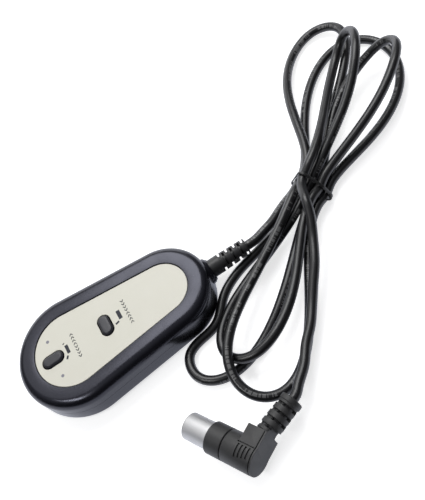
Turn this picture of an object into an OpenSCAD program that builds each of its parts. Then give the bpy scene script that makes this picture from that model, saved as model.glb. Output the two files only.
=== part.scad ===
// Wired two-button hand control: tapered oval housing, ribbed strain relief,
// round cord tied into a loose hank, and a right-angle five-pin plug.
// Units are millimetres. The housing lies flat on z = 0 with its cord end towards +Y.

/* [Housing] */
// Distance between the centres of the two rounded ends
end_pitch = 53; // [46:0.5:62]
// Radius of the wide end, in plan
wide_radius = 30.25; // [27:0.05:33]
// Radius of the narrow end, in plan
narrow_radius = 24.25; // [22:0.05:27]
// Height of the housing, from its base to its rim
housing_height = 20; // [19:0.25:24]
// Thickness of the side walls
wall = 2.2; // [1.6:0.1:2.8]
// Thickness of the floor of the base
floor_thickness = 2.2; // [1.6:0.1:3]
// Radius of the rounded top edge
shoulder = 5; // [3:0.25:6]
// Radius of the rounded bottom edge
foot_round = 4; // [3:0.1:5]
// Height of the line where the two covers part
parting_height = 11; // [10:0.25:12]
// Depth of the crease along the parting line
crease = 0.4; // [0.2:0.05:0.7]
// Height of the lip that centres the covers on each other
lip_height = 1.2; // [0.8:0.1:1.6]

/* [Face plate] */
// Width of the rim left round the face plate
plate_margin = 10.25; // [9:0.05:12]
// Thickness of the face plate
plate_thickness = 1.2; // [0.8:0.1:1.6]
// Depth of the face plate below the rim
plate_sink = 0.3; // [0.1:0.05:0.6]
// Thickness of the deck under the face plate
deck_thickness = 2; // [1.5:0.1:2.5]
// Gap between the face plate and its pocket
plate_gap = 0.2; // [0.1:0.05:0.4]

/* [Buttons] */
// Length of a button's cap
button_length = 11.2; // [9:0.1:12]
// Width of a button's cap
button_width = 6; // [5:0.1:7]
// Height of a button above the face plate
button_rise = 1.1; // [0.8:0.1:1.8]
// Bevel round the top of a button
button_bevel = 0.6; // [0.3:0.1:0.8]
// How far a button goes down
button_travel = 1; // [0.5:0.1:1]
// Gap between a button and the hole it moves in
button_gap = 0.3; // [0.2:0.05:0.5]
// Width of the flange that keeps a button in
flange_width = 1.2; // [0.8:0.1:1.5]
// Thickness of that flange
flange_thickness = 1; // [0.8:0.1:1.2]
// Distance from the wide end's centre to the extend button, towards the tip
extend_offset = 10.5; // [9:0.5:12]
// Distance from the wide end's centre to the retract button, towards the cord
retract_offset = 20.3; // [18:0.1:24]

/* [Circuit board] */
// Width of the circuit board
board_width = 20; // [18:0.5:22]
// Length of the circuit board
board_length = 54; // [52:0.5:58]
// Thickness of the circuit board
board_thickness = 1.6; // [1:0.1:2]
// Height of a switch's case above the board
switch_height = 3.5; // [3:0.1:3.8]
// Side of a switch's square case
switch_side = 6; // [5:0.1:8]
// Diameter of a switch's plunger
plunger_d = 3.2; // [2.5:0.1:3.6]
// Running gap round the plunger, on its radius
plunger_gap = 0.05; // [0.02:0.01:0.1]

/* [Screws] */
// Distance of the cover screws from the outline
screw_inset = 11.6; // [11:0.1:12.4]
// Room between the circuit board and the screw columns at the wide end
column_room = 0.9; // [0.5:0.1:1.2]
// Angle of the screws at the narrow end, from the cross axis through its centre
screw_angle = 10; // [0:1:14]
// Thread diameter of the cover screws
screw_d = 2.9; // [2.5:0.1:3.2]
// Head diameter of the cover screws
screw_head_d = 5.4; // [5:0.1:5.8]
// Head height of the cover screws
screw_head_height = 1.8; // [1.4:0.1:2]
// Depth of the recess for a screw head
screw_recess = 2.6; // [2.2:0.1:3]
// Diameter of a screw column in the base
column_d = 8.2; // [7.8:0.1:9]
// Thread diameter of the board and clamp screws
small_screw_d = 2.2; // [2:0.1:2.5]
// Head diameter of the board and clamp screws
small_head_d = 4; // [3.6:0.1:4.4]
// Head height of the board and clamp screws
small_head_height = 1.3; // [1:0.1:1.5]

/* [Cord exit] */
// How far the boss round the strain relief stands proud of the end
boss_out = 2; // [1:0.25:3]
// Diameter of that boss where it leaves the wall
boss_root_d = 14.6; // [13:0.1:15]
// Diameter of that boss at its tip
boss_tip_d = 11.8; // [11:0.1:12.5]
// Diameter of the strain relief at its root
relief_d = 9.6; // [9:0.1:10.4]
// Diameter of the strain relief at its tip
relief_tip_d = 8.6; // [7:0.1:9]
// Length of the smooth root of the strain relief
relief_root = 6.6; // [5:0.1:9]
// Number of ribs of the strain relief
relief_ribs = 5; // [3:1:6]
// Distance from rib to rib
relief_pitch = 2.8; // [2.4:0.1:3.2]
// Width of the slot between two ribs
relief_slot = 1; // [0.7:0.1:1.2]
// Depth of the slot between two ribs
relief_slot_depth = 1.1; // [0.7:0.1:1.4]

/* [Cord] */
// Diameter of the cord
cord_d = 5; // [4.6:0.1:5]
// Height of a strand's underside above the surface it lies on
cord_lift = 0.2; // [0:0.05:0.3]
// Diameter of one wire inside the cord
wire_d = 1.2; // [0.9:0.1:1.3]
// Pitch of the pads that the wires are soldered to
pad_pitch = 2.2; // [1.8:0.1:2.6]

/* [Hank] */
// Distance between two strands side by side in the tie
strand_pitch = 5.6; // [5.5:0.05:6]
// Height from one row of strands in the tie to the next
row_step = 5; // [4.9:0.05:5.4]
// Height of the lowest row of strands in the tie
first_row = 3.8; // [3.6:0.05:4.5]
// Width of the twist tie
tie_width = 2; // [1.5:0.1:3]
// Thickness of the twist tie
tie_thickness = 0.7; // [0.5:0.05:0.8]
// Gap between the tie and the strands
tie_gap = 0.3; // [0.2:0.05:0.4]

/* [Plug] */
// Diameter of the metal shell
shell_d = 13.2; // [12.8:0.1:13.6]
// Length of the metal shell in front of the ring
shell_length = 13.8; // [12:0.1:15]
// Thickness of the metal shell
shell_wall = 0.7; // [0.5:0.05:1]
// Diameter of the ring and of the elbow body
grip_d = 15.5; // [15:0.1:17]
// Length of the ring behind the shell
ring_length = 8.9; // [7:0.1:10]
// Width of the groove between ring and elbow
groove_width = 0.4; // [0.3:0.05:0.8]
// Length of the elbow body
elbow_length = 16.7; // [15.5:0.1:18]
// Length of the square block, along the plug
block_length = 9.8; // [9:0.1:11]
// Reach of the square block, from the plug's axis
block_reach = 11.5; // [10.5:0.1:13]
// Height of the square block
block_height = 14; // [12.5:0.1:14.8]
// Chamfer round the end face
end_chamfer = 0.6; // [0.3:0.05:1]
// Diameter of the contact pins
pin_d = 1.45; // [1.4:0.01:1.5]
// Diameter of the circle that the pins stand on
pin_circle_d = 7; // [6.8:0.1:7.2]
// How far the pins stand out of the insert
pin_length = 8.2; // [7:0.1:9]
// Depth of the insert inside the shell's rim
insert_depth = 9.3; // [8.5:0.1:10.5]
// Diameter of the plug's strain relief at its root
neck_d = 11; // [10:0.1:11.6]
// Diameter of the plug's strain relief at its tip
neck_tip_d = 10; // [9:0.1:10.6]
// Length of the plug's strain relief
neck_length = 19.3; // [18.6:0.1:21]
// Lean of the plug's strain relief
neck_lean = 10.5; // [5:0.5:14]
// Direction of the plug on the table, from +X
plug_turn = 30.8; // [25:0.1:35]
// Tilt of the plug, with the shell's rim on the table
plug_tilt = 9; // [7:0.25:11]
// Roll of the plug about its own axis
plug_roll = -3.6; // [-5:0.1:-2]

/* [Hidden] */
$fn = 48;
HULL_FN = 32;
EPS = 0.01;

housing_length = wide_radius + end_pitch + narrow_radius + boss_out;
wide_y = wide_radius - housing_length / 2;
narrow_y = wide_y + end_pitch;
wall_end_y = narrow_y + narrow_radius;
boss_tip_y = wall_end_y + boss_out;

plate_top = housing_height - plate_sink;
plate_bottom = plate_top - plate_thickness;
deck_bottom = plate_bottom - deck_thickness;
button_top = plate_top + button_rise;
flange_top = deck_bottom - button_gap;
flange_bottom = flange_top - flange_thickness;
extend_y = wide_y - extend_offset;
retract_y = wide_y + retract_offset;

// The switch case ends this far under the flange of a pressed button.
switch_clearance = 0.5;
switch_top = flange_bottom - button_travel - switch_clearance;
board_top = switch_top - switch_height;
board_bottom = board_top - board_thickness;
board_middle = (extend_y + retract_y) / 2;
board_ends = [board_middle - board_length / 2, board_middle + board_length / 2];
plunger_depth = 1.4;
plunger_bottom = switch_top - plunger_depth;
plunger_well = plunger_bottom - button_travel - 0.3;
post_d = 5;
post_x = board_width / 2 - post_d / 2;
post_y = [board_ends[0] + post_d / 2 + 2, board_ends[1] - post_d / 2 - 1];
thread_fit = 0.2;
hole_fit = 0.2;

lip_wall = wall / 2;
lip_gap = 0.15;
screw_end = deck_bottom - 1;
screw_spread = board_width / 2 + column_room + column_d / 2;
wide_ring = wide_radius - screw_inset;
narrow_ring = narrow_radius - screw_inset;
screw_spots = [
    for (side = [-1, 1]) each [
        [side * screw_spread, wide_y - sqrt(pow(wide_ring, 2) - pow(screw_spread, 2))],
        [side * narrow_ring * cos(screw_angle), narrow_y + narrow_ring * sin(screw_angle)]
    ]
];

// Height of the cord's axis above the base.
exit_height = 0.45 * housing_height;
// The collar holds the strain relief between its inner flange and the boss.
collar_length = 4.2;
collar_y = wall_end_y - collar_length;
collar_d = 13;
collar_gap = 0.1;
relief_neck_d = relief_d - 1;
relief_flange_d = 12.6;
relief_flange = 1.8;
relief_length = relief_root + relief_ribs * relief_pitch;
relief_tip_y = boss_tip_y + relief_length;
relief_window = 2.4;

// The clamp holds the end of the cord's jacket down on a saddle.
saddle_length = 5;
saddle_width = 18;
saddle_y = collar_y - 10;
saddle_gap = 0.3;
clamp_bottom = exit_height + saddle_gap;
clamp_clearance = 0.8;
clamp_top = deck_bottom - clamp_clearance - small_head_height;
clamp_screw_x = 6.2;
jacket_end_y = saddle_y - 3.5;
cradle_gap = 0.05;

pin_seat = 6;
insert_rear = ring_length;
// The shell steps in where the ring is moulded round it.
shell_tail_d = shell_d - 0.4;
plug_height = shell_d / 2 * cos(plug_tilt) + shell_length * sin(plug_tilt) + 0.1;
plug_at = [74.8, 13.7, plug_height];
elbow_start = ring_length + groove_width;
elbow_end = elbow_start + elbow_length;
block_start = elbow_end - block_length;
neck_start = [elbow_end - 3.7, block_reach];
grip_grooves = 4;
grip_pitch = 1.9;
grip_slot = 0.9;
grip_depth = 0.6;
grip_reach = 40;
neck_grooves = 4;
neck_pitch = 4;
neck_first = 4.3;
neck_slot = 0.9;
neck_slot_depth = 0.8;

// Tied hank. The strands cross the tie in cells: [places sideways, row].
tie_at = [-10, 120.5];
tie_turn = 30.5;
cells = [[-1.5, 0], [1.5, 0], [-1, 1], [-0.5, 0], [0.5, 0], [1, 1], [0, 1], [-0.45, 2.2]];
// Each loop: [lean, length, half width, bow, pinch, side, first cell, last cell, heights].
low = cord_d / 2 + cord_lift;
loops = [
    [124.5, 101, 24, -7, 1.1, -1, 0, 1, [4, 3, low, low, 3, 5, 5.5]],
    [-49, 113, 17.5, -7, 2.5, -1, 1, 2, [5.5, low, 4, 9, 13, 11, 12]],
    [148, 109, 16.5, 8, 2.1, -1, 2, 3, [9.5, 8, 3, 4.5, 8.5, 6, low]],
    [-58.5, 113, 17, 5, 1.8, 1, 3, 4, [low, low, low, 3.5, 3, 4.5, low]],
    [116.5, 91.5, 12.5, -3, 1.1, -1, 4, 5, [6, 10, 10.5, 17.5, 24, 19, 11.5]],
    [-52, 98.5, 14.5, 4, 2.4, -1, 5, 6, [10.5, 8.5, 10.5, 7.5, 5, 5, 7.5]],
    [122.5, 88.5, 8, -16, 2, 1, 6, 7, [12, 20.5, 29, 21.5, 11, 13.5, 17]]
];
// Chosen points of the cord between the handset and the hank, and from the hank to the plug.
handset_run = [[-2, 87, 8.5], [-4.5, 93.5, 7.5], [-8.5, 100, 6], [-12, 106, 4.5]];
hank_end = [[-7, 115, 15.2], [1.8, 112.4, 17.4], [10.3, 109.3, 15.1]];
plug_run = [
    [18, 105, 12.3], [30, 98, 11], [39, 91, 9.5], [47, 85, 8.5], [55, 79, 8.5],
    [62, 72, 8.5], [70, 66, 9], [76, 59.5, 10]
];
RINGS_PER_LOOP = 24;
// Strands run straight for this far on each side of the tie's middle.
straight = tie_width / 2 + 0.5;
HANK_SIDES = 6;
RUN_SIDES = 8;
wall_clearance = 0.85;

// ---------- Plan outlines ----------

// Angle between the long axis and the normal of the straight sides.
function side_angle() = acos((wide_radius - narrow_radius) / end_pitch);

// Tapered oval in plan, grown or shrunk by the same amount all round.
module oval(grow) {
    big = wide_radius + grow;
    small = narrow_radius + grow;
    a = side_angle();
    translate([0, wide_y]) circle(r = big, $fn = 96);
    translate([0, narrow_y]) circle(r = small, $fn = 96);
    polygon([
        [big * sin(a), wide_y + big * cos(a)],
        [small * sin(a), narrow_y + small * cos(a)],
        [-small * sin(a), narrow_y + small * cos(a)],
        [-big * sin(a), wide_y + big * cos(a)]
    ]);
}

// Slot with round ends, lying along X.
module obround(length, width) {
    for (side = [-1, 1])
        translate([side * (length - width) / 2, 0]) circle(d = width);
    square([length - width, width], center = true);
}

// ---------- Housing bodies ----------

function quarter(cx, cz, r, from, steps) =
    [for (i = [0:steps]) [cx + r * cos(from + 90 * i / steps), cz + r * sin(from + 90 * i / steps)]];

// Round block with a rounded lower and upper edge.
module end_block(r, z0, z1, lower, upper, lower_steps, upper_steps) {
    rotate_extrude($fn = 64) polygon(concat(
        [[0, z0]],
        quarter(r - lower, z0 + lower, lower, -90, lower_steps),
        quarter(r - upper, z1 - upper, upper, 0, upper_steps),
        [[0, z1]]
    ));
}

// Tapered oval block: the skin over its two round ends.
module oval_block(grow, z0, z1, lower, upper, lower_steps, upper_steps) {
    hull() for (end = [[wide_radius, wide_y], [narrow_radius, narrow_y]])
        translate([0, end[1], 0])
            end_block(end[0] + grow, z0, z1, lower, upper, lower_steps, upper_steps);
}

module along_y(y, z) {
    translate([0, y, z]) rotate([-90, 0, 0]) children();
}

module below(z) {
    translate([-50, -100, z - 60]) cube([100, 200, 60]);
}

module above(z) {
    translate([-50, -100, z]) cube([100, 200, 60]);
}

// Collar inside the wall and boss outside it, round the cord's exit.
module exit_boss() {
    along_y(collar_y, exit_height) cylinder(d = collar_d, h = collar_length);
    along_y(wall_end_y - 1.5, exit_height)
        cylinder(d1 = boss_root_d, d2 = boss_tip_d, h = boss_out + 1.5);
}

module exit_bore() {
    along_y(collar_y - 1, exit_height)
        cylinder(d = relief_neck_d + 2 * collar_gap, h = collar_length + boss_out + 2);
}

module at_screws() {
    for (spot = screw_spots) translate([spot[0], spot[1], 0]) children();
}

module at_posts() {
    for (x = [-post_x, post_x], y = post_y) translate([x, y, 0]) children();
}

module at_clamp_screws() {
    for (x = [-clamp_screw_x, clamp_screw_x]) translate([x, saddle_y, 0]) children();
}

module top_shell() {
    difference() {
        oval_block(0, parting_height, housing_height, crease, shoulder, 1, 6);
        oval_block(-wall, parting_height - 5, deck_bottom, 1, 1.5, 1, 2);
        translate([0, 0, parting_height - EPS])
            linear_extrude(lip_height + lip_gap + EPS) oval(lip_gap - lip_wall);
        translate([0, 0, plate_bottom]) linear_extrude(5) oval(-plate_margin);
    }
}

module button_hole(turn, y, depth_from, depth_to, gap) {
    translate([0, y, depth_from]) rotate([0, 0, turn])
        linear_extrude(depth_to - depth_from)
            obround(button_length + 2 * gap, button_width + 2 * gap);
}

module top_cover() {
    color("#26262e") difference() {
        union() {
            top_shell();
            at_screws() translate([0, 0, parting_height])
                cylinder(d = column_d, h = deck_bottom + 1 - parting_height);
            at_posts() translate([0, 0, board_top]) cylinder(d = post_d, h = deck_bottom + 1 - board_top);
            difference() {
                exit_boss();
                below(parting_height);
            }
        }
        button_hole(0, retract_y, deck_bottom - 1, housing_height, button_gap);
        button_hole(90, extend_y, deck_bottom - 1, housing_height, button_gap);
        at_screws() translate([0, 0, parting_height - 1])
            cylinder(d = screw_d - thread_fit, h = screw_end + 1.3 - parting_height);
        at_posts() translate([0, 0, board_top - 1])
            cylinder(d = small_screw_d - thread_fit, h = deck_bottom - 0.3 - board_top);
        exit_bore();
    }
}

module base_shell() {
    difference() {
        oval_block(0, 0, parting_height, foot_round, crease, 6, 1);
        oval_block(-wall, floor_thickness, parting_height + 5, foot_round - wall, 0.5, 3, 1);
    }
    difference() {
        translate([0, 0, parting_height - 3]) linear_extrude(3 + lip_height) oval(-lip_wall);
        translate([0, 0, parting_height - 4]) linear_extrude(6 + lip_height) oval(-wall);
        collar_notch();
    }
}

// Gap in the lip where the upper half of the collar comes down to the parting line.
module collar_notch() {
    reach = collar_d / 2 + lip_gap;
    translate([-reach, collar_y, parting_height])
        cube([2 * reach, collar_length + boss_out, 2 * lip_height]);
}

module saddle() {
    translate([-saddle_width / 2, saddle_y - saddle_length / 2, 0])
        cube([saddle_width, saddle_length, exit_height - saddle_gap]);
}

module jacket_cradle() {
    along_y(saddle_y - saddle_length, exit_height)
        cylinder(d = cord_d + 2 * cradle_gap, h = 2 * saddle_length);
}

module base_cover() {
    color("#212128") difference() {
        union() {
            base_shell();
            at_screws() cylinder(d = column_d, h = parting_height);
            saddle();
            difference() {
                exit_boss();
                above(parting_height);
            }
        }
        at_screws() {
            translate([0, 0, -1]) cylinder(d = screw_head_d + 2 * hole_fit, h = screw_recess + 1);
            cylinder(d = screw_d + 2 * hole_fit, h = parting_height + 1);
        }
        at_clamp_screws() translate([0, 0, floor_thickness + 0.5])
            cylinder(d = small_screw_d - thread_fit, h = exit_height);
        jacket_cradle();
        exit_bore();
    }
}

module face_plate() {
    color("#dedccf") difference() {
        translate([0, 0, plate_bottom]) linear_extrude(plate_thickness) oval(-plate_margin - plate_gap);
        button_hole(0, retract_y, plate_bottom - 1, plate_top + 1, button_gap);
        button_hole(90, extend_y, plate_bottom - 1, plate_top + 1, button_gap);
    }
}

// ---------- Buttons and switches ----------

// Cap with a bevelled top, over a flange that stays under the deck.
module button(turn, y) {
    color("#4a4a50") translate([0, y, 0]) rotate([0, 0, turn]) {
        translate([0, 0, flange_bottom]) linear_extrude(flange_thickness)
            obround(button_length + 2 * flange_width, button_width + 2 * flange_width);
        translate([0, 0, flange_top]) linear_extrude(button_top - button_bevel - flange_top)
            obround(button_length, button_width);
        hull($fn = HULL_FN) {
            translate([0, 0, button_top - button_bevel]) linear_extrude(EPS)
                obround(button_length, button_width, $fn = HULL_FN);
            translate([0, 0, button_top - EPS]) linear_extrude(EPS)
                obround(button_length - 2 * button_bevel, button_width - 2 * button_bevel, $fn = HULL_FN);
        }
    }
}

module retract_button() {
    button(0, retract_y);
}

module extend_button() {
    button(90, extend_y);
}

module plunger(y) {
    color("#d8d4c4") translate([0, y, plunger_bottom])
        cylinder(d = plunger_d, h = flange_bottom - plunger_bottom);
}

module retract_plunger() {
    plunger(retract_y);
}

module extend_plunger() {
    plunger(extend_y);
}

module switch_case(y) {
    color("#33333a") difference() {
        translate([-switch_side / 2, y - switch_side / 2, board_top])
            cube([switch_side, switch_side, switch_height]);
        translate([0, y, plunger_well])
            cylinder(d = plunger_d + 2 * plunger_gap, h = switch_height);
    }
}

module retract_switch() {
    switch_case(retract_y);
}

module extend_switch() {
    switch_case(extend_y);
}

module circuit_board() {
    color("#2f6b3c") difference() {
        translate([-board_width / 2, board_ends[0], board_bottom])
            cube([board_width, board_length, board_thickness]);
        at_posts() translate([0, 0, board_bottom - 1])
            cylinder(d = small_screw_d + 2 * hole_fit, h = board_thickness + 2);
    }
}

// ---------- Screws ----------

// Pan-head screw, its head down, with a cross slot in the head.
module screw(head_z, head_d, head_height, thread_d, end_z) {
    difference() {
        translate([0, 0, head_z]) cylinder(d = head_d, h = head_height);
        for (turn = [0, 90]) rotate([0, 0, turn])
            translate([-head_d * 0.3, -0.35, head_z - EPS]) cube([head_d * 0.6, 0.7, head_height * 0.5]);
    }
    translate([0, 0, head_z + head_height]) cylinder(d = thread_d, h = end_z - head_z - head_height);
}

module housing_screws() {
    color("#b4b4b8") at_screws()
        screw(screw_recess - screw_head_height, screw_head_d, screw_head_height, screw_d, screw_end);
}

module board_screws() {
    color("#b4b4b8") at_posts()
        screw(board_bottom - small_head_height, small_head_d, small_head_height,
            small_screw_d, deck_bottom - 2);
}

module clamp_screws() {
    color("#b4b4b8") at_clamp_screws() translate([0, 0, clamp_top]) mirror([0, 0, 1])
        screw(-small_head_height, small_head_d, small_head_height, small_screw_d,
            clamp_top - floor_thickness - 1);
}

// ---------- Cord exit ----------

module cord_clamp() {
    color("#8a8a80") difference() {
        translate([-saddle_width / 2, saddle_y - saddle_length / 2, clamp_bottom])
            cube([saddle_width, saddle_length, clamp_top - clamp_bottom]);
        jacket_cradle();
        at_clamp_screws() cylinder(d = small_screw_d + 2 * hole_fit, h = 2 * housing_height);
    }
}

module inner_cord_end() {
    color("#222222") along_y(jacket_end_y, exit_height)
        cylinder(d = cord_d, h = collar_y - relief_flange - jacket_end_y);
}

module lead_wires() {
    wire_rise = 2.5 * wire_d;
    pad_y = board_ends[1] - wire_rise;
    middle_y = (jacket_end_y + pad_y) / 2;
    color("#a03a30") for (i = [-2:2])
        tube([
            [i * wire_d * 0.55, jacket_end_y, exit_height + (abs(i) % 2 - 0.5) * wire_d],
            [i * wire_d * 0.8, jacket_end_y - wire_rise, exit_height + wire_d * 0.7],
            [i * pad_pitch * 0.8, middle_y, board_top + wire_rise],
            [i * pad_pitch, pad_y + wire_rise, board_top + wire_rise],
            [i * pad_pitch, pad_y + wire_d / 2, board_top + wire_d * 1.3],
            [i * pad_pitch, pad_y, board_top]
        ], wire_d / 2, 6, [0, -1, 0], [0, 0, -1]);
}

// Ring-shaped slots with solid bridges left in them, turned rib by rib.
module rib_slots(count, pitch, slot, root_d, tip_d, length, depth, bridge) {
    for (i = [0:count - 1]) {
        z = pitch * i;
        d = root_d + (tip_d - root_d) * (z / length);
        translate([0, 0, z]) rotate([0, 0, 90 * (i % 2)]) difference() {
            cylinder(d = root_d + 2, h = slot);
            translate([0, 0, -1]) cylinder(d = d - 2 * depth, h = slot + 2);
            translate([-bridge / 2, -root_d, -1]) cube([bridge, 2 * root_d, slot + 2]);
        }
    }
}

module handset_strain_relief() {
    ribbed = relief_ribs * relief_pitch;
    color("#202022") {
        along_y(collar_y - relief_flange, exit_height) cylinder(d = relief_flange_d, h = relief_flange);
        along_y(collar_y, exit_height) cylinder(d = relief_neck_d, h = boss_tip_y - collar_y);
        along_y(boss_tip_y, exit_height) cylinder(d = relief_d, h = relief_root);
        along_y(boss_tip_y + relief_root, exit_height) difference() {
            cylinder(d1 = relief_d, d2 = relief_tip_d, h = ribbed);
            rib_slots(relief_ribs, relief_pitch, relief_slot, relief_d, relief_tip_d, ribbed,
                relief_slot_depth, relief_window);
        }
    }
}

// ---------- Cord ----------

function unit(v) = v / norm(v);

// One ring of a tube round point p, square to direction t.
function ring(p, t, r, sides) =
    let (across = unit(cross(abs(t[2]) > 0.95 ? [1, 0, 0] : [0, 0, 1], t)), over = cross(t, across))
    [for (k = [0:sides - 1]) p + r * (cos(360 * k / sides) * across + sin(360 * k / sides) * over)];

// Direction of a path at point i, with the directions of its two ends given.
function heading(path, i, first, last) =
    i == 0 ? first : i == len(path) - 1 ? last : unit(path[i + 1] - path[i - 1]);

// Closed tube along a path, in triangles.
module tube(path, r, sides, first, last) {
    n = len(path);
    rings = [for (i = [0:n - 1]) each ring(path[i], unit(heading(path, i, first, last)), r, sides)];
    skin = [
        for (i = [0:n - 2], k = [0:sides - 1])
            let (a = i * sides + k, b = i * sides + (k + 1) % sides)
            each [[a, a + sides, b + sides], [a, b + sides, b]]
    ];
    start = [for (k = [1:sides - 2]) [0, k, k + 1]];
    end = [for (k = [1:sides - 2]) [(n - 1) * sides, (n - 1) * sides + k + 1, (n - 1) * sides + k]];
    polyhedron(points = rings, faces = concat(skin, start, end));
}

// Smooth curve through the values in list v, at t from 0 to 1.
function through(v, t) =
    let (
        n = len(v) - 1,
        x = min(t * n, n - EPS * EPS),
        i = floor(x),
        f = x - i,
        p1 = v[i],
        p2 = v[i + 1],
        p0 = i > 0 ? v[i - 1] : 2 * p1 - p2,
        p3 = i + 2 <= n ? v[i + 2] : 2 * p2 - p1
    )
    0.5 * (2 * p1 + (p2 - p0) * f + (2 * p0 - 5 * p1 + 4 * p2 - p3) * f * f
        + (3 * p1 - p0 - 3 * p2 + p3) * f * f * f);

across_tie = [cos(tie_turn), sin(tie_turn)];
along_tie = [-sin(tie_turn), cos(tie_turn)];

function row_height(cell) = first_row + row_step * cell[1];

// Point of the strand in cell i, far along it from the tie's middle.
function cell_point(i, far) =
    let (at = tie_at + strand_pitch * cells[i][0] * across_tie + far * along_tie)
    [at[0], at[1], row_height(cells[i])];

// Where a strand crosses the tie, going towards side 1 or -1 of it.
function crossing(i, side) = [cell_point(i, -side * straight), cell_point(i, side * straight)];

// Keeps a strand on the table clear of the housing's round end.
function beside_housing(p) =
    let (
        reach = narrow_radius + cord_d / 2 + wall_clearance,
        v = [p[0], p[1] - narrow_y],
        d = norm(v)
    )
    p[0] > 0 && d < reach ? [v[0] * reach / d, narrow_y + v[1] * reach / d, p[2]] : p;

// Point of a loop: out from the tie along its lean, round the end and back.
function loop_point(shape, u) =
    let (
        lean = shape[0],
        pinch = shape[4],
        a = pow(sin(180 * u), 2),
        swell = sin(360 * u) * pow(abs(sin(180 * u)), pinch)
            * sqrt(pinch + 2) / (2 * pow((pinch + 1) / (pinch + 2), (pinch + 1) / 2)),
        blend = 1 - pow(1 - a, 5),
        leave = (lean > 0 ? 1 : -1) * along_tie,
        out = [cos(lean), sin(lean)],
        side = [sin(lean), -cos(lean)],
        from = cells[shape[6]],
        to = cells[shape[7]],
        place = strand_pitch * (u < 0.5 ? from[0] : to[0]),
        xy = tie_at + shape[1] * a * ((1 - blend) * leave + blend * out)
            + (shape[5] * shape[2] * swell * blend + shape[3] * a * a) * side
            + pow(1 - a, 2) * place * across_tie,
        z = through(concat([row_height(from)], shape[8], [row_height(to)]), u)
    )
    beside_housing([xy[0], xy[1], z]);

hank_start = cell_point(0, -6);
hank_path = concat(
    [hank_start],
    [
        for (shape = loops) each concat(
            crossing(shape[6], shape[0] > 0 ? 1 : -1),
            [for (i = [2:RINGS_PER_LOOP - 2]) loop_point(shape, i / RINGS_PER_LOOP)]
        )
    ],
    crossing(len(loops), -1),
    hank_end
);
hank_last_point = hank_end[len(hank_end) - 1];
hank_first = unit(hank_path[1] - hank_path[0]);
hank_last = unit(hank_last_point - hank_end[len(hank_end) - 2]);

exit_point = [0, relief_tip_y, exit_height];
handset_path = concat([exit_point, exit_point + [0, cord_d + 0.5, 0]], handset_run, [hank_start]);

// Axes of the plug: along its shell, towards its strain relief, and up.
plug_x = [cos(plug_turn) * cos(plug_tilt), sin(plug_turn) * cos(plug_tilt), sin(plug_tilt)];
level_y = [-sin(plug_turn), cos(plug_turn), 0];
level_z = cross(plug_x, level_y);
plug_y = level_y * cos(plug_roll) + level_z * sin(plug_roll);
neck_dir = plug_y * cos(neck_lean) + plug_x * sin(neck_lean);
neck_tip = plug_at + neck_start[0] * plug_x + neck_start[1] * plug_y + neck_length * neck_dir;
plug_path = concat([hank_last_point], plug_run, [neck_tip + cord_d / 2 * neck_dir, neck_tip]);

// Path with three more points on each of its segments, for measuring.
function finer(path) =
    [for (i = [0:len(path) - 2], f = [0, 0.25, 0.5, 0.75]) path[i] + f * (path[i + 1] - path[i])];

function run_length(path) = len(path) < 2 ? 0 : let (
    steps = [for (i = [0:len(path) - 2]) norm(path[i + 1] - path[i])]
) steps * [for (s = steps) 1];

// Least gap between strands of a path, from points at least skip steps apart along it.
function least_gap(path) =
    let (
        p = finer(path),
        skip = 12,
        n = len(p)
    )
    min([
        for (i = [0:n - skip - 1]) min([for (j = [i + skip:n - 1]) norm(p[i] - p[j])])
    ]) - cord_d;

module cord_handset_run() {
    color("#242424") tube(handset_path, cord_d / 2, RUN_SIDES, [0, 1, 0], hank_first);
}

module cord_hank() {
    echo(least_gap_of_hank = least_gap(hank_path));
    echo(cord_length = run_length(handset_path) + run_length(hank_path) + run_length(plug_path));
    color("#242424") tube(hank_path, cord_d / 2, HANK_SIDES, hank_first, hank_last);
}

module cord_plug_run() {
    color("#242424") tube(plug_path, cord_d / 2, RUN_SIDES, hank_last, -neck_dir);
}

// Outline round all strands in the tie, seen along them.
module bundle_outline(grow) {
    hull() for (cell = cells)
        translate([strand_pitch * cell[0], row_height(cell)])
            circle(r = cord_d / 2 + grow, $fn = HULL_FN);
}

module twist_tie() {
    color("#1c1c1c") translate([tie_at[0], tie_at[1], 0]) rotate([0, 0, tie_turn]) rotate([90, 0, 0])
        translate([0, 0, -tie_width / 2]) linear_extrude(tie_width) difference() {
            bundle_outline(tie_gap + tie_thickness);
            bundle_outline(tie_gap);
        }
}

// ---------- Plug ----------

// Places pieces modelled along X, with the strain relief towards Y, where the plug lies.
module plug_place() {
    translate(plug_at) rotate([0, 0, plug_turn]) rotate([0, -plug_tilt, 0]) rotate([plug_roll, 0, 0])
        children();
}

// Cylinder along X from x0 to x1.
module round_x(x0, x1, d) {
    translate([x0, 0, 0]) rotate([0, 90, 0]) cylinder(d = d, h = x1 - x0);
}

module plug_shell() {
    color("#d4d4d6") plug_place() difference() {
        union() {
            round_x(-shell_length, 0, shell_d);
            round_x(-1, insert_rear, shell_tail_d);
        }
        round_x(-shell_length - 1, insert_rear + 1, shell_d - 2 * shell_wall);
    }
}

module plug_ring() {
    color("#3a3a3a") plug_place() difference() {
        round_x(0, ring_length, grip_d);
        round_x(-1, ring_length + 1, shell_tail_d);
    }
}

module at_pins(x) {
    for (turn = [0, 45, 90, 135, 180])
        rotate([turn, 0, 0]) translate([x, pin_circle_d / 2, 0]) children();
}

module plug_insert() {
    front = insert_depth - shell_length;
    color("#2b2b2b") plug_place() difference() {
        round_x(front, insert_rear, shell_d - 2 * shell_wall);
        at_pins(0) round_x(front - 1, pin_seat, pin_d);
        translate([front - 1, -1.1, -shell_d / 2]) cube([5, 2.2, 1.8]);
    }
}

module contact_pins() {
    front = insert_depth - shell_length - pin_length;
    color("#c8c8cc") plug_place() at_pins(0) round_x(front, pin_seat, pin_d);
}

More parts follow.
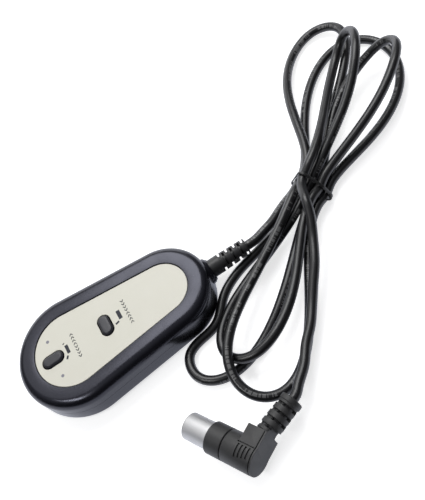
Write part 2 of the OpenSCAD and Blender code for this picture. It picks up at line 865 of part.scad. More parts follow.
// Short grooves round both faces of the elbow, beside its square block.
module cut_grip_grooves() {
    reach = grip_d * tan(grip_reach);
    intersection() {
        for (i = [0:grip_grooves - 1])
            let (x = block_start + 1 + grip_pitch * i) difference() {
                round_x(x, x + grip_slot, grip_d + 2);
                round_x(x - 1, x + grip_slot + 1, grip_d - 2 * grip_depth);
            }
        translate([block_start, 0, 0]) rotate([90, 0, 90]) linear_extrude(block_length)
            for (face = [-1, 1])
                polygon([[0, 0], [reach, face * grip_d], [-reach, face * grip_d]]);
    }
}

module plug_body() {
    color("#3f3f3f") plug_place() {
        difference() {
            union() {
                round_x(ring_length, elbow_start, grip_d - 1);
                round_x(elbow_start, elbow_end - end_chamfer, grip_d);
                translate([elbow_end - end_chamfer, 0, 0]) rotate([0, 90, 0])
                    cylinder(d1 = grip_d, d2 = grip_d - 2 * end_chamfer, h = end_chamfer);
            }
            cut_grip_grooves();
        }
        translate([block_start, 0, -block_height / 2])
            cube([block_length, block_reach, block_height]);
    }
}

module neck_place() {
    translate([neck_start[0], neck_start[1], 0]) rotate([0, 0, -neck_lean]) rotate([-90, 0, 0])
        children();
}

module plug_strain_relief() {
    color("#363636") plug_place() difference() {
        neck_place() difference() {
            translate([0, 0, -2])
                cylinder(d1 = neck_d, d2 = neck_tip_d, h = neck_length + 2);
            translate([0, 0, neck_first])
                rib_slots(neck_grooves, neck_pitch, neck_slot, neck_d, neck_tip_d, neck_length,
                    neck_slot_depth, relief_window);
        }
        translate([0, block_reach - 20, -20]) cube([60, 20, 40]);
        translate([elbow_end, 0, -20]) cube([10, block_reach + neck_first, 40]);
    }
}

top_cover();
base_cover();
face_plate();
retract_button();
extend_button();
retract_plunger();
extend_plunger();
retract_switch();
extend_switch();
circuit_board();
board_screws();
housing_screws();
cord_clamp();
clamp_screws();
inner_cord_end();
lead_wires();
handset_strain_relief();
cord_handset_run();
cord_hank();
twist_tie();
cord_plug_run();
plug_shell();
plug_ring();
plug_insert();
contact_pins();
plug_body();
plug_strain_relief();
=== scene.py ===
# Wired two-button hand control: tapered oval ABS housing, ivory face plate, PVC cord tied
# into a loose hank and a right-angle five-pin plug. Sizes are in millimetres until a mesh
# is made; MM turns them to metres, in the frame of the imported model.
import math

import bmesh
import bpy
import numpy as np
from mathutils import Matrix, Vector


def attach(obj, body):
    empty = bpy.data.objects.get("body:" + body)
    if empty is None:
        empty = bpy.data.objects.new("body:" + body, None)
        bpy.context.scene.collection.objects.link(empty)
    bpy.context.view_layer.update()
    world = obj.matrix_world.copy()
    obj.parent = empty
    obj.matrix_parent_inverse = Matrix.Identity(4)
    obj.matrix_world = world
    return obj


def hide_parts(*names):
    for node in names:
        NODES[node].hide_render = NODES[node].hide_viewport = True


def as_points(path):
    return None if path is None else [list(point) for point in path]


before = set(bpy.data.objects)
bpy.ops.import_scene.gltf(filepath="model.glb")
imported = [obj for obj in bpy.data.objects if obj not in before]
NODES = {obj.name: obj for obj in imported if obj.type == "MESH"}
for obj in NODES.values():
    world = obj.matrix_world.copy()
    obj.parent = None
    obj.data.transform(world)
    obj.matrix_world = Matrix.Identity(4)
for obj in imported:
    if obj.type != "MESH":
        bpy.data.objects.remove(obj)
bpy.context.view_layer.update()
MM = 0.001

# ---------------- sizes of the real pieces

END_PITCH = 53.0
WIDE_R, NARROW_R = 30.25, 24.25
HOUSING_H = 20.0
WALL = 2.2
SHOULDER, FOOT_ROUND = 5.0, 4.0
PARTING, CREASE, LIP, SEAM_BAND = 11.0, 0.08, 1.2, 2.4
BOSS_OUT = 2.0
LENGTH = WIDE_R + END_PITCH + NARROW_R + BOSS_OUT
WIDE_Y = WIDE_R - LENGTH / 2
NARROW_Y = WIDE_Y + END_PITCH
WALL_END_Y = NARROW_Y + NARROW_R
BOSS_TIP_Y = WALL_END_Y + BOSS_OUT
BOSS_ROOT_D, BOSS_TIP_D = 14.6, 11.8
EXIT_Z = 9.0

PLATE_MARGIN, PLATE_T, PLATE_SINK, PLATE_GAP = 10.25, 1.2, 0.3, 0.35
PLATE_TOP = HOUSING_H - PLATE_SINK
PLATE_BOTTOM = PLATE_TOP - PLATE_T
PLATE_RIM, PLATE_EDGE = 0.2, 0.12
# Button holes in the plate: how far they widen below, and the depths this is between.
UNDERCUT, UNDERCUT_TOP, UNDERCUT_FULL = 0.9, 0.35, 0.5
DECK_T, DECK_CHAMFER = 2.0, 1.5
DECK_BOTTOM = PLATE_BOTTOM - DECK_T

BUTTON_L, BUTTON_W, BUTTON_RISE, BUTTON_BEVEL, BUTTON_GAP = 11.2, 6.0, 1.1, 0.85, 0.6
BUTTON_TOP = PLATE_TOP + BUTTON_RISE
FLANGE_W, FLANGE_T = 1.2, 1.0
FLANGE_TOP = DECK_BOTTOM - BUTTON_GAP
EXTEND_Y = WIDE_Y - 10.5
RETRACT_Y = WIDE_Y + 20.3

SCREW_INSET, SCREW_X, SCREW_TURN = 11.6, 15.0, 10
SCREW_RECESS, SCREW_RECESS_R, RECESS_EDGE = 2.6, 2.9, 0.2

RELIEF_D, RELIEF_TIP_D, RELIEF_L = 9.6, 8.6, 20.6
RELIEF_SLOTS, RELIEF_FIRST, RELIEF_PITCH, RELIEF_SLOT, RELIEF_DEPTH = 7, 5.7, 2.25, 1.05, 1.6
# Middle of the first row of slots, and half the arc of even and odd rows, in degrees.
RELIEF_TURNS = (33.0, 66.0, 58.0)
RELIEF_TIP_Y = BOSS_TIP_Y + RELIEF_L

CORD_D, CORD_LIFT = 5.0, 0.2
STRAND_PITCH, ROW_STEP, FIRST_ROW = 5.6, 5.0, 3.8
TIE_W, TIE_SECTION_W, TIE_T, TIE_GAP, TIE_WIRE_R = 2.0, 1.7, 0.9, 0.25, 0.42
# Wire's end: along the strand, distance from its axis, degrees round it.
TIE_END = [(0.2, 3.3, 75), (-0.5, 3.6, 40), (-1.9, 4.6, 22), (-3.4, 4.7, 25), (-4.3, 3.6, 50)]

SHELL_D, SHELL_TAIL_D, SHELL_L, SHELL_WALL = 13.2, 12.8, 13.8, 0.7
GRIP_D, RING_L, GROOVE_W, ELBOW_L = 15.5, 8.9, 0.4, 16.7
BLOCK_L, BLOCK_REACH, BLOCK_H = 9.8, 11.5, 14.0
# Grip grooves: number, first, pitch, width, depth, then degrees from the Y axis.
GRIPS, GRIP_FIRST, GRIP_PITCH, GRIP_W, GRIP_DEPTH = 4, 0.5, 1.95, 0.95, 0.7
GRIP_FROM, GRIP_TO, GRIP_TAPER = 78.0, 125.0, 3.0
NECK_D, NECK_TIP_D, NECK_L, NECK_LEAN = 11.0, 10.0, 19.3, 10.5
# Neck slots by side: first, pitch, width, depth, then middle and half of each arc.
NECK_GROOVES = 4
NECK_UPPER = (2.25, 3.93, 1.25, 1.6, ((228.7, 43.7), (324.0, 48.4)))
NECK_UNDER = (4.1, 3.75, 1.0, 0.9, ((98.0, 85.0),))
NECK_ROOT, NECK_BACK, NECK_INSET = 4.0, 3.7, 0.9
# Ring cut at the root: from, to, middle, half of its arc, depth.
NECK_ROOT_RING = (0.05, 0.5, 0.0, 183.0, 0.5)
WAIST_AT, WAIST_HALF, WAIST_DEPTH = 2.1, 2.0, 0.45
COLLAR_L, COLLAR_RISE = 2.6, 0.35
PLUG_AT, PLUG_LIFT = (74.8, 13.7), 0.1
PLUG_TURN, PLUG_TILT, PLUG_ROLL = 30.8, 9.0, -3.6
ELBOW_START = RING_L + GROOVE_W
ELBOW_END = ELBOW_START + ELBOW_L
BLOCK_START = ELBOW_END - BLOCK_L
CAP_T, CAP_GROOVE = 0.75, 0.4

# ---------------- camera

CAMERA_AT = (200.40, 57.99, 335.27)
CAMERA_RIGHT = (0.46654, 0.83425, -0.29388)
CAMERA_UP = (-0.70022, 0.55135, 0.45354)
CAMERA_BACK = (0.54040, -0.00581, 0.84139)
LENS, SENSOR = 54.60, 36.0


def put_in_scene(name, data):
    made = bpy.data.objects.new(name, data)
    bpy.context.scene.collection.objects.link(made)
    return made


def make_camera():
    data = bpy.data.cameras.new("camera")
    data.lens = LENS
    data.sensor_width = SENSOR
    data.sensor_fit = "AUTO"
    data.clip_start, data.clip_end = 0.01, 20.0
    camera = put_in_scene("camera", data)
    turn = Matrix((CAMERA_RIGHT, CAMERA_UP, CAMERA_BACK)).transposed().to_4x4()
    camera.matrix_world = Matrix.Translation(Vector(CAMERA_AT) * MM) @ turn
    bpy.context.scene.camera = camera


# ---------------- node materials

# Part of a noise's range that its values mostly keep to.
NOISE_SPAN = {"From Min": 0.3, "From Max": 0.7}
# Extruder lines on the jacket: noise drawn out to cells of this length and width, with
# this many waves in each. One line is too fine to see; together they dull the gloss.
STREAK_L, STREAK_W, STREAK_WAVES, STREAK_HEIGHT = 50.0, 1 / 9, 3.0, 0.15
# Ticks on the jacket: band's half width, how far it sways over what length, length of a
# tick's place, share of places filled, length of a row with its gap, share of it filled.
BAND_HALF, BAND_SWAY, SWAY_LENGTH = 0.85, 1.2, 52.0
TICK_PLACE, TICK_SHARE, ROW_L, ROW_SHARE = 0.55, 0.55, 23.0, 0.72


def linear(code):
    """sRGB hex code to a linear colour with alpha."""
    parts = [int(code[i : i + 2], 16) / 255 for i in (1, 3, 5)]
    return [c / 12.92 if c <= 0.04045 else ((c + 0.055) / 1.055) ** 2.4 for c in parts] + [1.0]


def per_mm(size):
    """Scale that makes a pattern's features about size millimetres across."""
    return 1 / (size * MM)


def add(tree, kind, settings=None, links=None, into=None, out=0):
    """Adds a node. settings are attributes or input values. links map inputs to outputs, or
    to nodes whose first output is meant. Output number out goes into the socket into."""
    node = tree.nodes.new("ShaderNode" + kind)
    for key, value in (settings or {}).items():
        if isinstance(key, str) and hasattr(node, key):
            setattr(node, key, value)
        else:
            node.inputs[key].default_value = value
    for key, source in (links or {}).items():
        output = source.outputs[0] if isinstance(source, bpy.types.Node) else source
        tree.links.new(output, node.inputs[key])
    if into is not None:
        tree.links.new(node.outputs[out], into)
    return node


def material(name, base, roughness, **settings):
    """Principled material; returns it, its tree, the shader's inputs and object coordinates."""
    made = bpy.data.materials.new(name)
    made.use_nodes = True
    tree = made.node_tree
    surface = tree.nodes["Principled BSDF"].inputs
    surface["Base Color"].default_value = linear(base)
    surface["Roughness"].default_value = roughness
    for key, value in settings.items():
        surface[key.replace("_", " ")].default_value = value
    place = add(tree, "TexCoord").outputs["Object"]
    return made, tree, surface, place


def grained(name, base, roughness, shades, patch, grain, **settings):
    """Surface that wanders between two shades, with a fine grain. patch is the size and
    detail of the patches; grain is the same for the grain, and its depth."""
    made, tree, surface, place = material(name, base, roughness, **settings)
    size, detail = patch
    patches = add(tree, "TexNoise", {"Scale": per_mm(size), "Detail": detail}, {"Vector": place})
    colours = {"data_type": "RGBA", 6: linear(shades[0]), 7: linear(shades[1])}
    add(tree, "Mix", colours, {0: patches}, surface["Base Color"], out=2)
    size, detail, depth = grain
    texture = add(tree, "TexNoise", {"Scale": per_mm(size), "Detail": detail}, {"Vector": place})
    relief = {"Strength": 1.0, "Distance": depth * MM}
    add(tree, "Bump", relief, {"Height": texture}, surface["Normal"])
    return made


def housing_abs():
    """ABS, injection moulded and lightly polished: near-black blue, satin gloss, faint
    moulding ripple, a few specks of dust."""
    made, tree, surface, place = material(
        "housing_abs", "#0e0e13", 0.24, IOR=1.53, Specular_Tint=linear("#eaecff")
    )
    ripple = add(tree, "TexNoise", {"Scale": per_mm(9.0), "Detail": 2.0}, {"Vector": place})
    gloss = {**NOISE_SPAN, "To Min": 0.21, "To Max": 0.27}
    add(tree, "MapRange", gloss, {"Value": ripple}, surface["Roughness"])
    specks = add(tree, "TexVoronoi", {"Scale": per_mm(2.6)}, {"Vector": place})
    near = {"From Min": 0.0, "From Max": 0.055, "To Min": 1.0, "To Max": 0.0}
    dust = add(tree, "MapRange", near, {"Value": specks})
    colours = {"data_type": "RGBA", 6: linear("#0e0e13"), 7: linear("#54545e")}
    add(tree, "Mix", colours, {0: dust}, surface["Base Color"], out=2)
    texture = add(tree, "TexNoise", {"Scale": per_mm(0.5), "Detail": 3.0}, {"Vector": place})
    relief = {"Strength": 1.0, "Distance": 0.006 * MM}
    add(tree, "Bump", relief, {"Height": texture}, surface["Normal"])
    return made


def screen_ink(name, code, worn):
    """Screen-printing ink: matt, slightly uneven cover."""
    made, tree, surface, place = material(name, code, 0.7, Specular_IOR_Level=0.25)
    cover = add(tree, "TexNoise", {"Scale": per_mm(0.6), "Detail": 3.0}, {"Vector": place})
    colours = {"data_type": "RGBA", 6: linear(code), 7: linear(worn)}
    add(tree, "Mix", colours, {0: cover}, surface["Base Color"], out=2)
    return made


def moulded_ticks(tree, along):
    """Uneven rows of raised ticks in a band along the jacket, which turns slowly round it."""
    way = add(tree, "SeparateXYZ", {}, {0: along})
    u, v = way.outputs["X"], way.outputs["Y"]
    half = math.pi * CORD_D / 2
    turn = add(tree, "Math", {"operation": "DIVIDE", 1: SWAY_LENGTH}, {0: u})
    wave = add(tree, "Math", {"operation": "SINE"}, {0: turn})
    sway = add(tree, "Math", {"operation": "MULTIPLY", 1: BAND_SWAY}, {0: wave})
    aside = add(tree, "Math", {"operation": "SUBTRACT"}, {0: v, 1: sway})
    past = add(tree, "Math", {"operation": "ADD", 1: half}, {0: aside})
    round_once = add(tree, "Math", {"operation": "FLOORED_MODULO", 1: 2 * half}, {0: past})
    off = add(tree, "Math", {"operation": "SUBTRACT", 1: half}, {0: round_once})
    away = add(tree, "Math", {"operation": "ABSOLUTE"}, {0: off})
    band = add(tree, "Math", {"operation": "LESS_THAN", 1: BAND_HALF}, {0: away})
    places = add(tree, "Math", {"operation": "DIVIDE", 1: TICK_PLACE}, {0: u})
    cell = add(tree, "Math", {"operation": "FLOOR"}, {0: places})
    chance = add(tree, "TexWhiteNoise", {"noise_dimensions": "1D"}, {"W": cell})
    tick = add(tree, "Math", {"operation": "LESS_THAN", 1: TICK_SHARE}, {0: chance})
    rows = add(tree, "Math", {"operation": "DIVIDE", 1: ROW_L}, {0: u})
    gone = add(tree, "Math", {"operation": "FRACT"}, {0: rows})
    row = add(tree, "Math", {"operation": "LESS_THAN", 1: ROW_SHARE}, {0: gone})
    marked = add(tree, "Math", {"operation": "MULTIPLY"}, {0: band, 1: tick})
    return add(tree, "Math", {"operation": "MULTIPLY"}, {0: marked, 1: row})


def cord_pvc():
    """Extruded PVC jacket: satin black, faint lines along it, and raised tick marks."""
    made, tree, surface, _ = material("cord_pvc", "#121213", 0.3, IOR=1.54)
    along = add(tree, "UVMap", {"uv_map": "jacket"}).outputs["UV"]
    drawn_out = {"Scale": (1 / STREAK_L, 1 / STREAK_W, 1.0)}
    lines = add(tree, "Mapping", drawn_out, {"Vector": along})
    streak = add(tree, "TexNoise", {"Scale": STREAK_WAVES, "Detail": 2.0}, {"Vector": lines})
    gloss = {**NOISE_SPAN, "To Min": 0.26, "To Max": 0.36}
    add(tree, "MapRange", gloss, {"Value": streak}, surface["Roughness"])
    ticks = moulded_ticks(tree, along)
    colours = {"data_type": "RGBA", 6: linear("#121213"), 7: linear("#5c5c5c")}
    add(tree, "Mix", colours, {0: ticks}, surface["Base Color"], out=2)
    ground = add(tree, "Math", {"operation": "MULTIPLY", 1: STREAK_HEIGHT}, {0: streak})
    height = add(tree, "Math", {"operation": "ADD"}, {0: ground, 1: ticks})
    relief = {"Strength": 1.0, "Distance": 0.08 * MM}
    add(tree, "Bump", relief, {"Height": height}, surface["Normal"])
    return made


def shell_nickel():
    """Nickel plate on drawn steel: satin, with broad soft reflections."""
    made, tree, surface, place = material("shell_nickel", "#cccccc", 0.58, Metallic=1.0)
    spread = add(tree, "TexNoise", {"Scale": per_mm(5.0), "Detail": 3.0}, {"Vector": place})
    gloss = {**NOISE_SPAN, "To Min": 0.54, "To Max": 0.62}
    add(tree, "MapRange", gloss, {"Value": spread}, surface["Roughness"])
    return made


def plain(name, code, roughness, size, depth, **settings):
    """Inner moulding or metal part, with its gloss and surface a little uneven."""
    made, tree, surface, place = material(name, code, roughness, **settings)
    spread = add(tree, "TexNoise", {"Scale": per_mm(size), "Detail": 3.0}, {"Vector": place})
    gloss = {**NOISE_SPAN, "To Min": roughness - 0.06, "To Max": roughness + 0.06}
    add(tree, "MapRange", gloss, {"Value": spread}, surface["Roughness"])
    relief = {"Strength": 1.0, "Distance": depth * MM}
    add(tree, "Bump", relief, {"Height": spread}, surface["Normal"])
    return made


# ---------------- meshes


def face_outwards(data, weld=0.0):
    """Turns all faces outwards, after joining points closer than weld metres."""
    work = bmesh.new()
    work.from_mesh(data)
    if weld:
        bmesh.ops.remove_doubles(work, verts=work.verts, dist=weld)
    bmesh.ops.recalc_face_normals(work, faces=work.faces)
    work.to_mesh(data)
    work.free()


def mesh_piece(name, points, faces, finish, body="handset", smooth=35.0):
    """Object from points in millimetres; edges sharper than smooth degrees stay crisp."""
    data = bpy.data.meshes.new(name)
    data.from_pydata([tuple(float(c) * MM for c in p) for p in points], [], faces)
    data.validate()
    face_outwards(data, weld=1e-7)
    made = put_in_scene(name, data)
    soften(made, smooth)
    data.materials.append(finish)
    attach(made, body)
    return made


def soften(piece, angle):
    piece.data.shade_smooth()
    piece.data.set_sharp_from_angle(angle=math.radians(angle))


def bands(count, size, closed_rings=True, closed_path=False):
    """Quads between count rings of size points each, which are numbered ring by ring."""
    faces = []
    for i in range(count if closed_path else count - 1):
        here, there = i * size, (i + 1) % count * size
        for k in range(size if closed_rings else size - 1):
            after = (k + 1) % size
            faces.append((here + k, here + after, there + after, there + k))
    return faces


def side_turn():
    """Angle of the straight sides' normal above the X axis."""
    return math.asin((WIDE_R - NARROW_R) / END_PITCH)


def oval(grow, arc=72, straight=14):
    """Tapered oval outline, counter-clockwise, grown by the same amount all round."""
    b = side_turn()
    narrow, wide = NARROW_R + grow, WIDE_R + grow
    points = []
    for i in range(arc + 1):
        a = b + (math.pi - 2 * b) * i / arc
        points.append((narrow * math.cos(a), NARROW_Y + narrow * math.sin(a)))
    left = (-wide * math.cos(b), WIDE_Y + wide * math.sin(b))
    points += between(points[-1], left, straight)
    for i in range(arc + 1):
        a = math.pi - b + (math.pi + 2 * b) * i / arc
        points.append((wide * math.cos(a), WIDE_Y + wide * math.sin(a)))
    points += between(points[-1], points[0], straight)
    return points


def between(a, b, count):
    """Points strictly between two points."""
    return [tuple(p + (q - p) * i / count for p, q in zip(a, b)) for i in range(1, count)]


def sweep(start, end, steps):
    """Angles in radians from start to end degrees."""
    return [math.radians(start + (end - start) * i / steps) for i in range(steps + 1)]


def round_points(r, count):
    """Points all round a circle about the origin."""
    turns = [2 * math.pi * k / count for k in range(count)]
    return [(r * math.cos(a), r * math.sin(a)) for a in turns]


def circle(x, y, r, count=40):
    return [(x + px, y + py) for px, py in round_points(r, count)]


def arc(cx, cz, r, start, end, steps):
    """(offset, height) pairs along a round."""
    return [(cx + r * math.cos(a), cz + r * math.sin(a)) for a in sweep(start, end, steps)]


def obround(y, turn, length, width):
    """Round-ended slot outline, counter-clockwise."""
    r, reach = width / 2, (length - width) / 2
    points = arc(reach, 0, r, -90, 90, 16) + arc(-reach, 0, r, 90, 270, 16)
    c, s = math.cos(math.radians(turn)), math.sin(math.radians(turn))
    return [(px * c - py * s, y + px * s + py * c) for px, py in points]


class Shell:
    """Collects rings and caps of one piece."""

    def __init__(self):
        self.points, self.faces = [], []

    def ring(self, outline, z):
        start = len(self.points)
        self.points += [(x, y, z) for x, y in outline]
        return list(range(start, len(self.points)))

    def join(self, a, b):
        n = len(a)
        self.faces += [(a[k], a[(k + 1) % n], b[(k + 1) % n], b[k]) for k in range(n)]

    def loft(self, rings):
        for a, b in zip(rings, rings[1:]):
            self.join(a, b)

    def cap(self, outer, holes=()):
        """Flat face inside a ring, with holes left open."""
        work = bmesh.new()
        loops = [outer, *holes]
        made = {i: work.verts.new(self.points[i]) for loop in loops for i in loop}
        edges = [
            work.edges.new((made[loop[k]], made[loop[(k + 1) % len(loop)]]))
            for loop in loops
            for k in range(len(loop))
        ]
        back = {vert: i for i, vert in made.items()}
        filled = bmesh.ops.triangle_fill(work, edges=edges, use_beauty=True)
        for face in filled["geom"]:
            if isinstance(face, bmesh.types.BMFace):
                self.faces.append(tuple(back[v] for v in face.verts))
        work.free()

    def piece(self, name, finish, body="handset", smooth=35.0):
        return mesh_piece(name, self.points, self.faces, finish, body, smooth)


def button_outlines():
    """Outlines of both button holes, as functions of how far they are grown."""
    return [
        lambda g, y=y, turn=turn: obround(
            y, turn, BUTTON_L + 2 * (BUTTON_GAP + g), BUTTON_W + 2 * (BUTTON_GAP + g)
        )
        for y, turn in ((RETRACT_Y, 0), (EXTEND_Y, 90))
    ]


def screw_spots():
    wide = WIDE_R - SCREW_INSET
    narrow = NARROW_R - SCREW_INSET
    drop = math.sqrt(wide**2 - SCREW_X**2)
    turn = math.radians(SCREW_TURN)
    spots = [(SCREW_X, WIDE_Y - drop), (narrow * math.cos(turn), NARROW_Y + narrow * math.sin(turn))]
    return [(side * x, y) for side in (-1, 1) for x, y in spots]


# ---------------- housing


def make_top_cover(finish):
    shell, rim = Shell(), PLATE_RIM
    profile = (
        [(-WALL, PARTING), (-CREASE, PARTING), (0, PARTING + CREASE)]
        + [(0, PARTING + SEAM_BAND)]
        + arc(-SHOULDER, HOUSING_H - SHOULDER, SHOULDER, 0, 90, 14)
        + [(-SHOULDER - 1.2, HOUSING_H)]
        + arc(-PLATE_MARGIN + rim, HOUSING_H - rim, rim, 90, 180, 4)
        + [(-PLATE_MARGIN, PLATE_BOTTOM)]
    )
    outer = [shell.ring(oval(o), z) for o, z in profile]
    inside = [
        (-PLATE_MARGIN, DECK_BOTTOM),
        (-WALL - DECK_CHAMFER, DECK_BOTTOM),
        (-WALL, DECK_BOTTOM - DECK_CHAMFER),
    ]
    inner = [shell.ring(oval(o), z) for o, z in inside]
    shell.loft(outer)
    shell.loft(inner + [outer[0]])
    tops, bottoms = [], []
    for outline in button_outlines():
        tops.append(shell.ring(outline(0), PLATE_BOTTOM))
        bottoms.append(shell.ring(outline(0), DECK_BOTTOM))
        shell.join(tops[-1], bottoms[-1])
    shell.cap(outer[-1], tops)
    shell.cap(inner[0], bottoms)
    return shell.piece("top_cover_shell", finish, smooth=40)


def make_base_cover(finish):
    shell = Shell()
    profile = (
        arc(-FOOT_ROUND, FOOT_ROUND, FOOT_ROUND, -90, 0, 12)
        + [(0, PARTING - SEAM_BAND), (0, PARTING - CREASE), (-CREASE, PARTING)]
        + [(-WALL / 2, PARTING), (-WALL / 2, PARTING + LIP), (-WALL, PARTING + LIP)]
        + arc(-FOOT_ROUND, FOOT_ROUND, FOOT_ROUND - WALL, 0, -90, 4)
    )
    rings = [shell.ring(oval(o), z) for o, z in profile]
    shell.loft(rings)
    mouths = []
    for x, y in screw_spots():
        mouth = shell.ring(circle(x, y, SCREW_RECESS_R + RECESS_EDGE), 0)
        neck = shell.ring(circle(x, y, SCREW_RECESS_R), RECESS_EDGE)
        seat = shell.ring(circle(x, y, SCREW_RECESS_R), SCREW_RECESS)
        shell.loft([mouth, neck, seat])
        shell.cap(seat)
        mouths.append(mouth)
    shell.cap(rings[0], mouths)
    shell.cap(rings[-1])
    return shell.piece("base_cover_shell", finish, smooth=40)


def cord_axis_ring(y, r, count, start, end):
    """Points of a circle round the cord's exit, from start to end degrees above +X."""
    return [(x, y, z) for x, z in arc(0, EXIT_Z, r, start, end, count - 1)]


def make_exit_boss(name, finish, start, end, reach):
    """Half of the boss round the strain relief, from start to end degrees."""
    root, tip = BOSS_ROOT_D / 2, BOSS_TIP_D / 2
    back = WALL_END_Y - 5.0
    tip_y = BOSS_TIP_Y + reach
    bore = RELIEF_D / 2 + 0.12
    profile = [
        (back, root + 0.9),
        (WALL_END_Y - 1.6, root + 0.5),
        (WALL_END_Y - 0.6, root - 0.1),
        (WALL_END_Y + 0.5, (root + tip) / 2 + 0.3),
        (tip_y - 0.45, tip + 0.12),
        (tip_y - 0.12, tip - 0.08),
        (tip_y, tip - 0.45),
        (tip_y, bore + 0.2),
        (tip_y - 0.2, bore),
        (back, bore),
    ]
    count = 33
    rings = [cord_axis_ring(y, r, count, start, end) for y, r in profile]
    points = [p for ring in rings for p in ring]
    faces = bands(len(rings), count, closed_rings=False, closed_path=True)
    for k in (0, count - 1):
        faces.append(tuple(i * count + k for i in range(len(rings))))
    return mesh_piece(name, points, faces, finish, smooth=40)


def make_face_plate(finish):
    shell, edge = Shell(), PLATE_EDGE
    outer = [
        shell.ring(oval(-PLATE_MARGIN - PLATE_GAP - o), z)
        for o, z in ((0, PLATE_BOTTOM), (0, PLATE_TOP - edge), (edge, PLATE_TOP))
    ]
    shell.loft(outer)
    lows, highs = [], []
    for outline in button_outlines():
        rings = [
            shell.ring(outline(g), z)
            for g, z in (
                (UNDERCUT, PLATE_BOTTOM),
                (UNDERCUT, PLATE_TOP - UNDERCUT_FULL),
                (0, PLATE_TOP - UNDERCUT_TOP),
                (0, PLATE_TOP - edge),
                (edge, PLATE_TOP),
            )
        ]
        shell.loft(rings)
        lows.append(rings[0])
        highs.append(rings[-1])
    shell.cap(outer[0], lows)
    shell.cap(outer[-1], highs)
    return shell.piece("face_plate_sheet", finish)


def make_button(name, y, turn, finish, body):
    """Flat-topped cap with a crisp bevel, over its hidden flange."""
    shell = Shell()
    top = BUTTON_TOP
    profile = (
        [(FLANGE_W, FLANGE_TOP - FLANGE_T), (FLANGE_W, FLANGE_TOP), (0, FLANGE_TOP)]
        + [(0, top - BUTTON_BEVEL), (-0.12, top - BUTTON_BEVEL + 0.12)]
        + [(-BUTTON_BEVEL + 0.1, top - 0.12), (-BUTTON_BEVEL - 0.05, top - 0.03)]
        + [(-BUTTON_BEVEL - 0.25, top), (-BUTTON_BEVEL - 1.2, top)]
    )
    rings = [
        shell.ring(obround(y, turn, BUTTON_L + 2 * o, BUTTON_W + 2 * o), z) for o, z in profile
    ]
    shell.loft(rings)
    shell.cap(rings[0])
    shell.cap(rings[-1])
    return shell.piece(name, finish, body, smooth=30)


# ---------------- marks on the face plate

PRINT_T, PRINT_SUNK = 0.03, 0.01
ARROWS, ARROW_FIRST, ARROW_PITCH = 8, -6.65, 1.9
ARROW_SIZE, ARROW_STROKE = 1.15, 0.42
ARROW_ROWS = ((8.4, -1), (-21.8, 1))
DOT_X, DOT_Y, DOT_R = 10.6, -34.0, 0.85


def print_slab(name, outlines, finish):
    """Thin printed marks lying on the face plate."""
    shell = Shell()
    for outline in outlines:
        low = shell.ring(outline, PLATE_TOP - PRINT_SUNK)
        high = shell.ring(outline, PLATE_TOP + PRINT_T)
        shell.join(low, high)
        shell.cap(low)
        shell.cap(high)
    return shell.piece(name, finish)


def bar(a, b, width):
    """Rectangle along the line from a to b."""
    (ax, ay), (bx, by) = a, b
    length = math.hypot(bx - ax, by - ay)
    nx, ny = -(by - ay) / length * width / 2, (bx - ax) / length * width / 2
    return [(ax - nx, ay - ny), (bx - nx, by - ny), (bx + nx, by + ny), (ax + nx, ay + ny)]


def chevron(x, y, point):
    """Arrow head whose tip points along point, which is -1 or 1 along X."""
    tip = (x + point * ARROW_SIZE / 2, y)
    tails = [(x - point * ARROW_SIZE / 2, y + side * ARROW_SIZE * 0.7) for side in (-1, 1)]
    return [bar(tail, tip, ARROW_STROKE) for tail in tails]


def make_prints(ink, dot_ink):
    """A cylinder-and-rod sign by each button, a row of arrow heads, and two dots."""
    retract = [bar((-3.5, 4.2), (1.6, 4.2), 2.0), bar((2.3, 2.65), (2.85, 0.55), 1.0)]
    extend = [
        bar((-3.2, -26.35), (1.75, -26.35), 1.7),
        bar((2.6, -27.5), (4.2, -28.6), 1.0),
        bar((-4.7, -26.7), (-4.3, -27.7), 0.6),
    ]
    rows = []
    for y, outward in ARROW_ROWS:
        for i in range(ARROWS):
            point = outward if i >= ARROWS // 2 else -outward
            rows += chevron(ARROW_FIRST + ARROW_PITCH * i, y, point)
    print_slab("printed_signs", retract + extend + rows, ink)
    dots = [circle(side * DOT_X, DOT_Y, DOT_R, 28) for side in (-1, 1)]
    print_slab("printed_dots", dots, dot_ink)


# ---------------- strain reliefs


def ribbed_sleeve(name, radius_at, slots, length, finish, place, root=2.0):
    """Moulded sleeve along Z with a blind bore for the cord. slots are (from, to, middle,
    half, depth): cut within half degrees of the middle; place puts each point where it
    belongs."""
    soft, bore, bore_depth = 0.1, CORD_D / 2 + 0.02, 1.5
    levels = {-root, length, length - 0.35, length - 0.1}
    for low, high, *_ in slots:
        levels |= {low - soft, low + soft, high - soft, high + soft}
    levels |= {length * i / 24 for i in range(25)}
    levels = sorted(z for z in levels if z <= length)
    count = 120
    turns = [360.0 * k / count for k in range(count)]
    points = []
    for z in levels:
        edge = 0.35 if z > length - 0.01 else 0.12 if z > length - 0.2 else 0.0
        for turn in turns:
            r = radius_at(z) - edge
            for low, high, middle, half, depth in slots:
                if low < z < high:
                    away = abs((turn - middle + 180) % 360 - 180)
                    r -= depth * min(1.0, max(0.0, (half - away) / 3.0))
            points.append(on_ring(r, turn, z))
    rows = len(levels)
    for z in (length, length - bore_depth):
        points += [on_ring(bore, turn, z) for turn in turns]
    faces = bands(rows + 2, count)
    ends = len(points)
    points += [(0, 0, -root), (0, 0, length - bore_depth)]
    last = (rows + 1) * count
    for k in range(count):
        after = (k + 1) % count
        faces += [(ends, after, k), (ends + 1, last + k, last + after)]
    return mesh_piece(name, [place(p) for p in points], faces, finish, smooth=32)


def on_ring(r, turn, z):
    a = math.radians(turn)
    return (r * math.cos(a), r * math.sin(a), z)


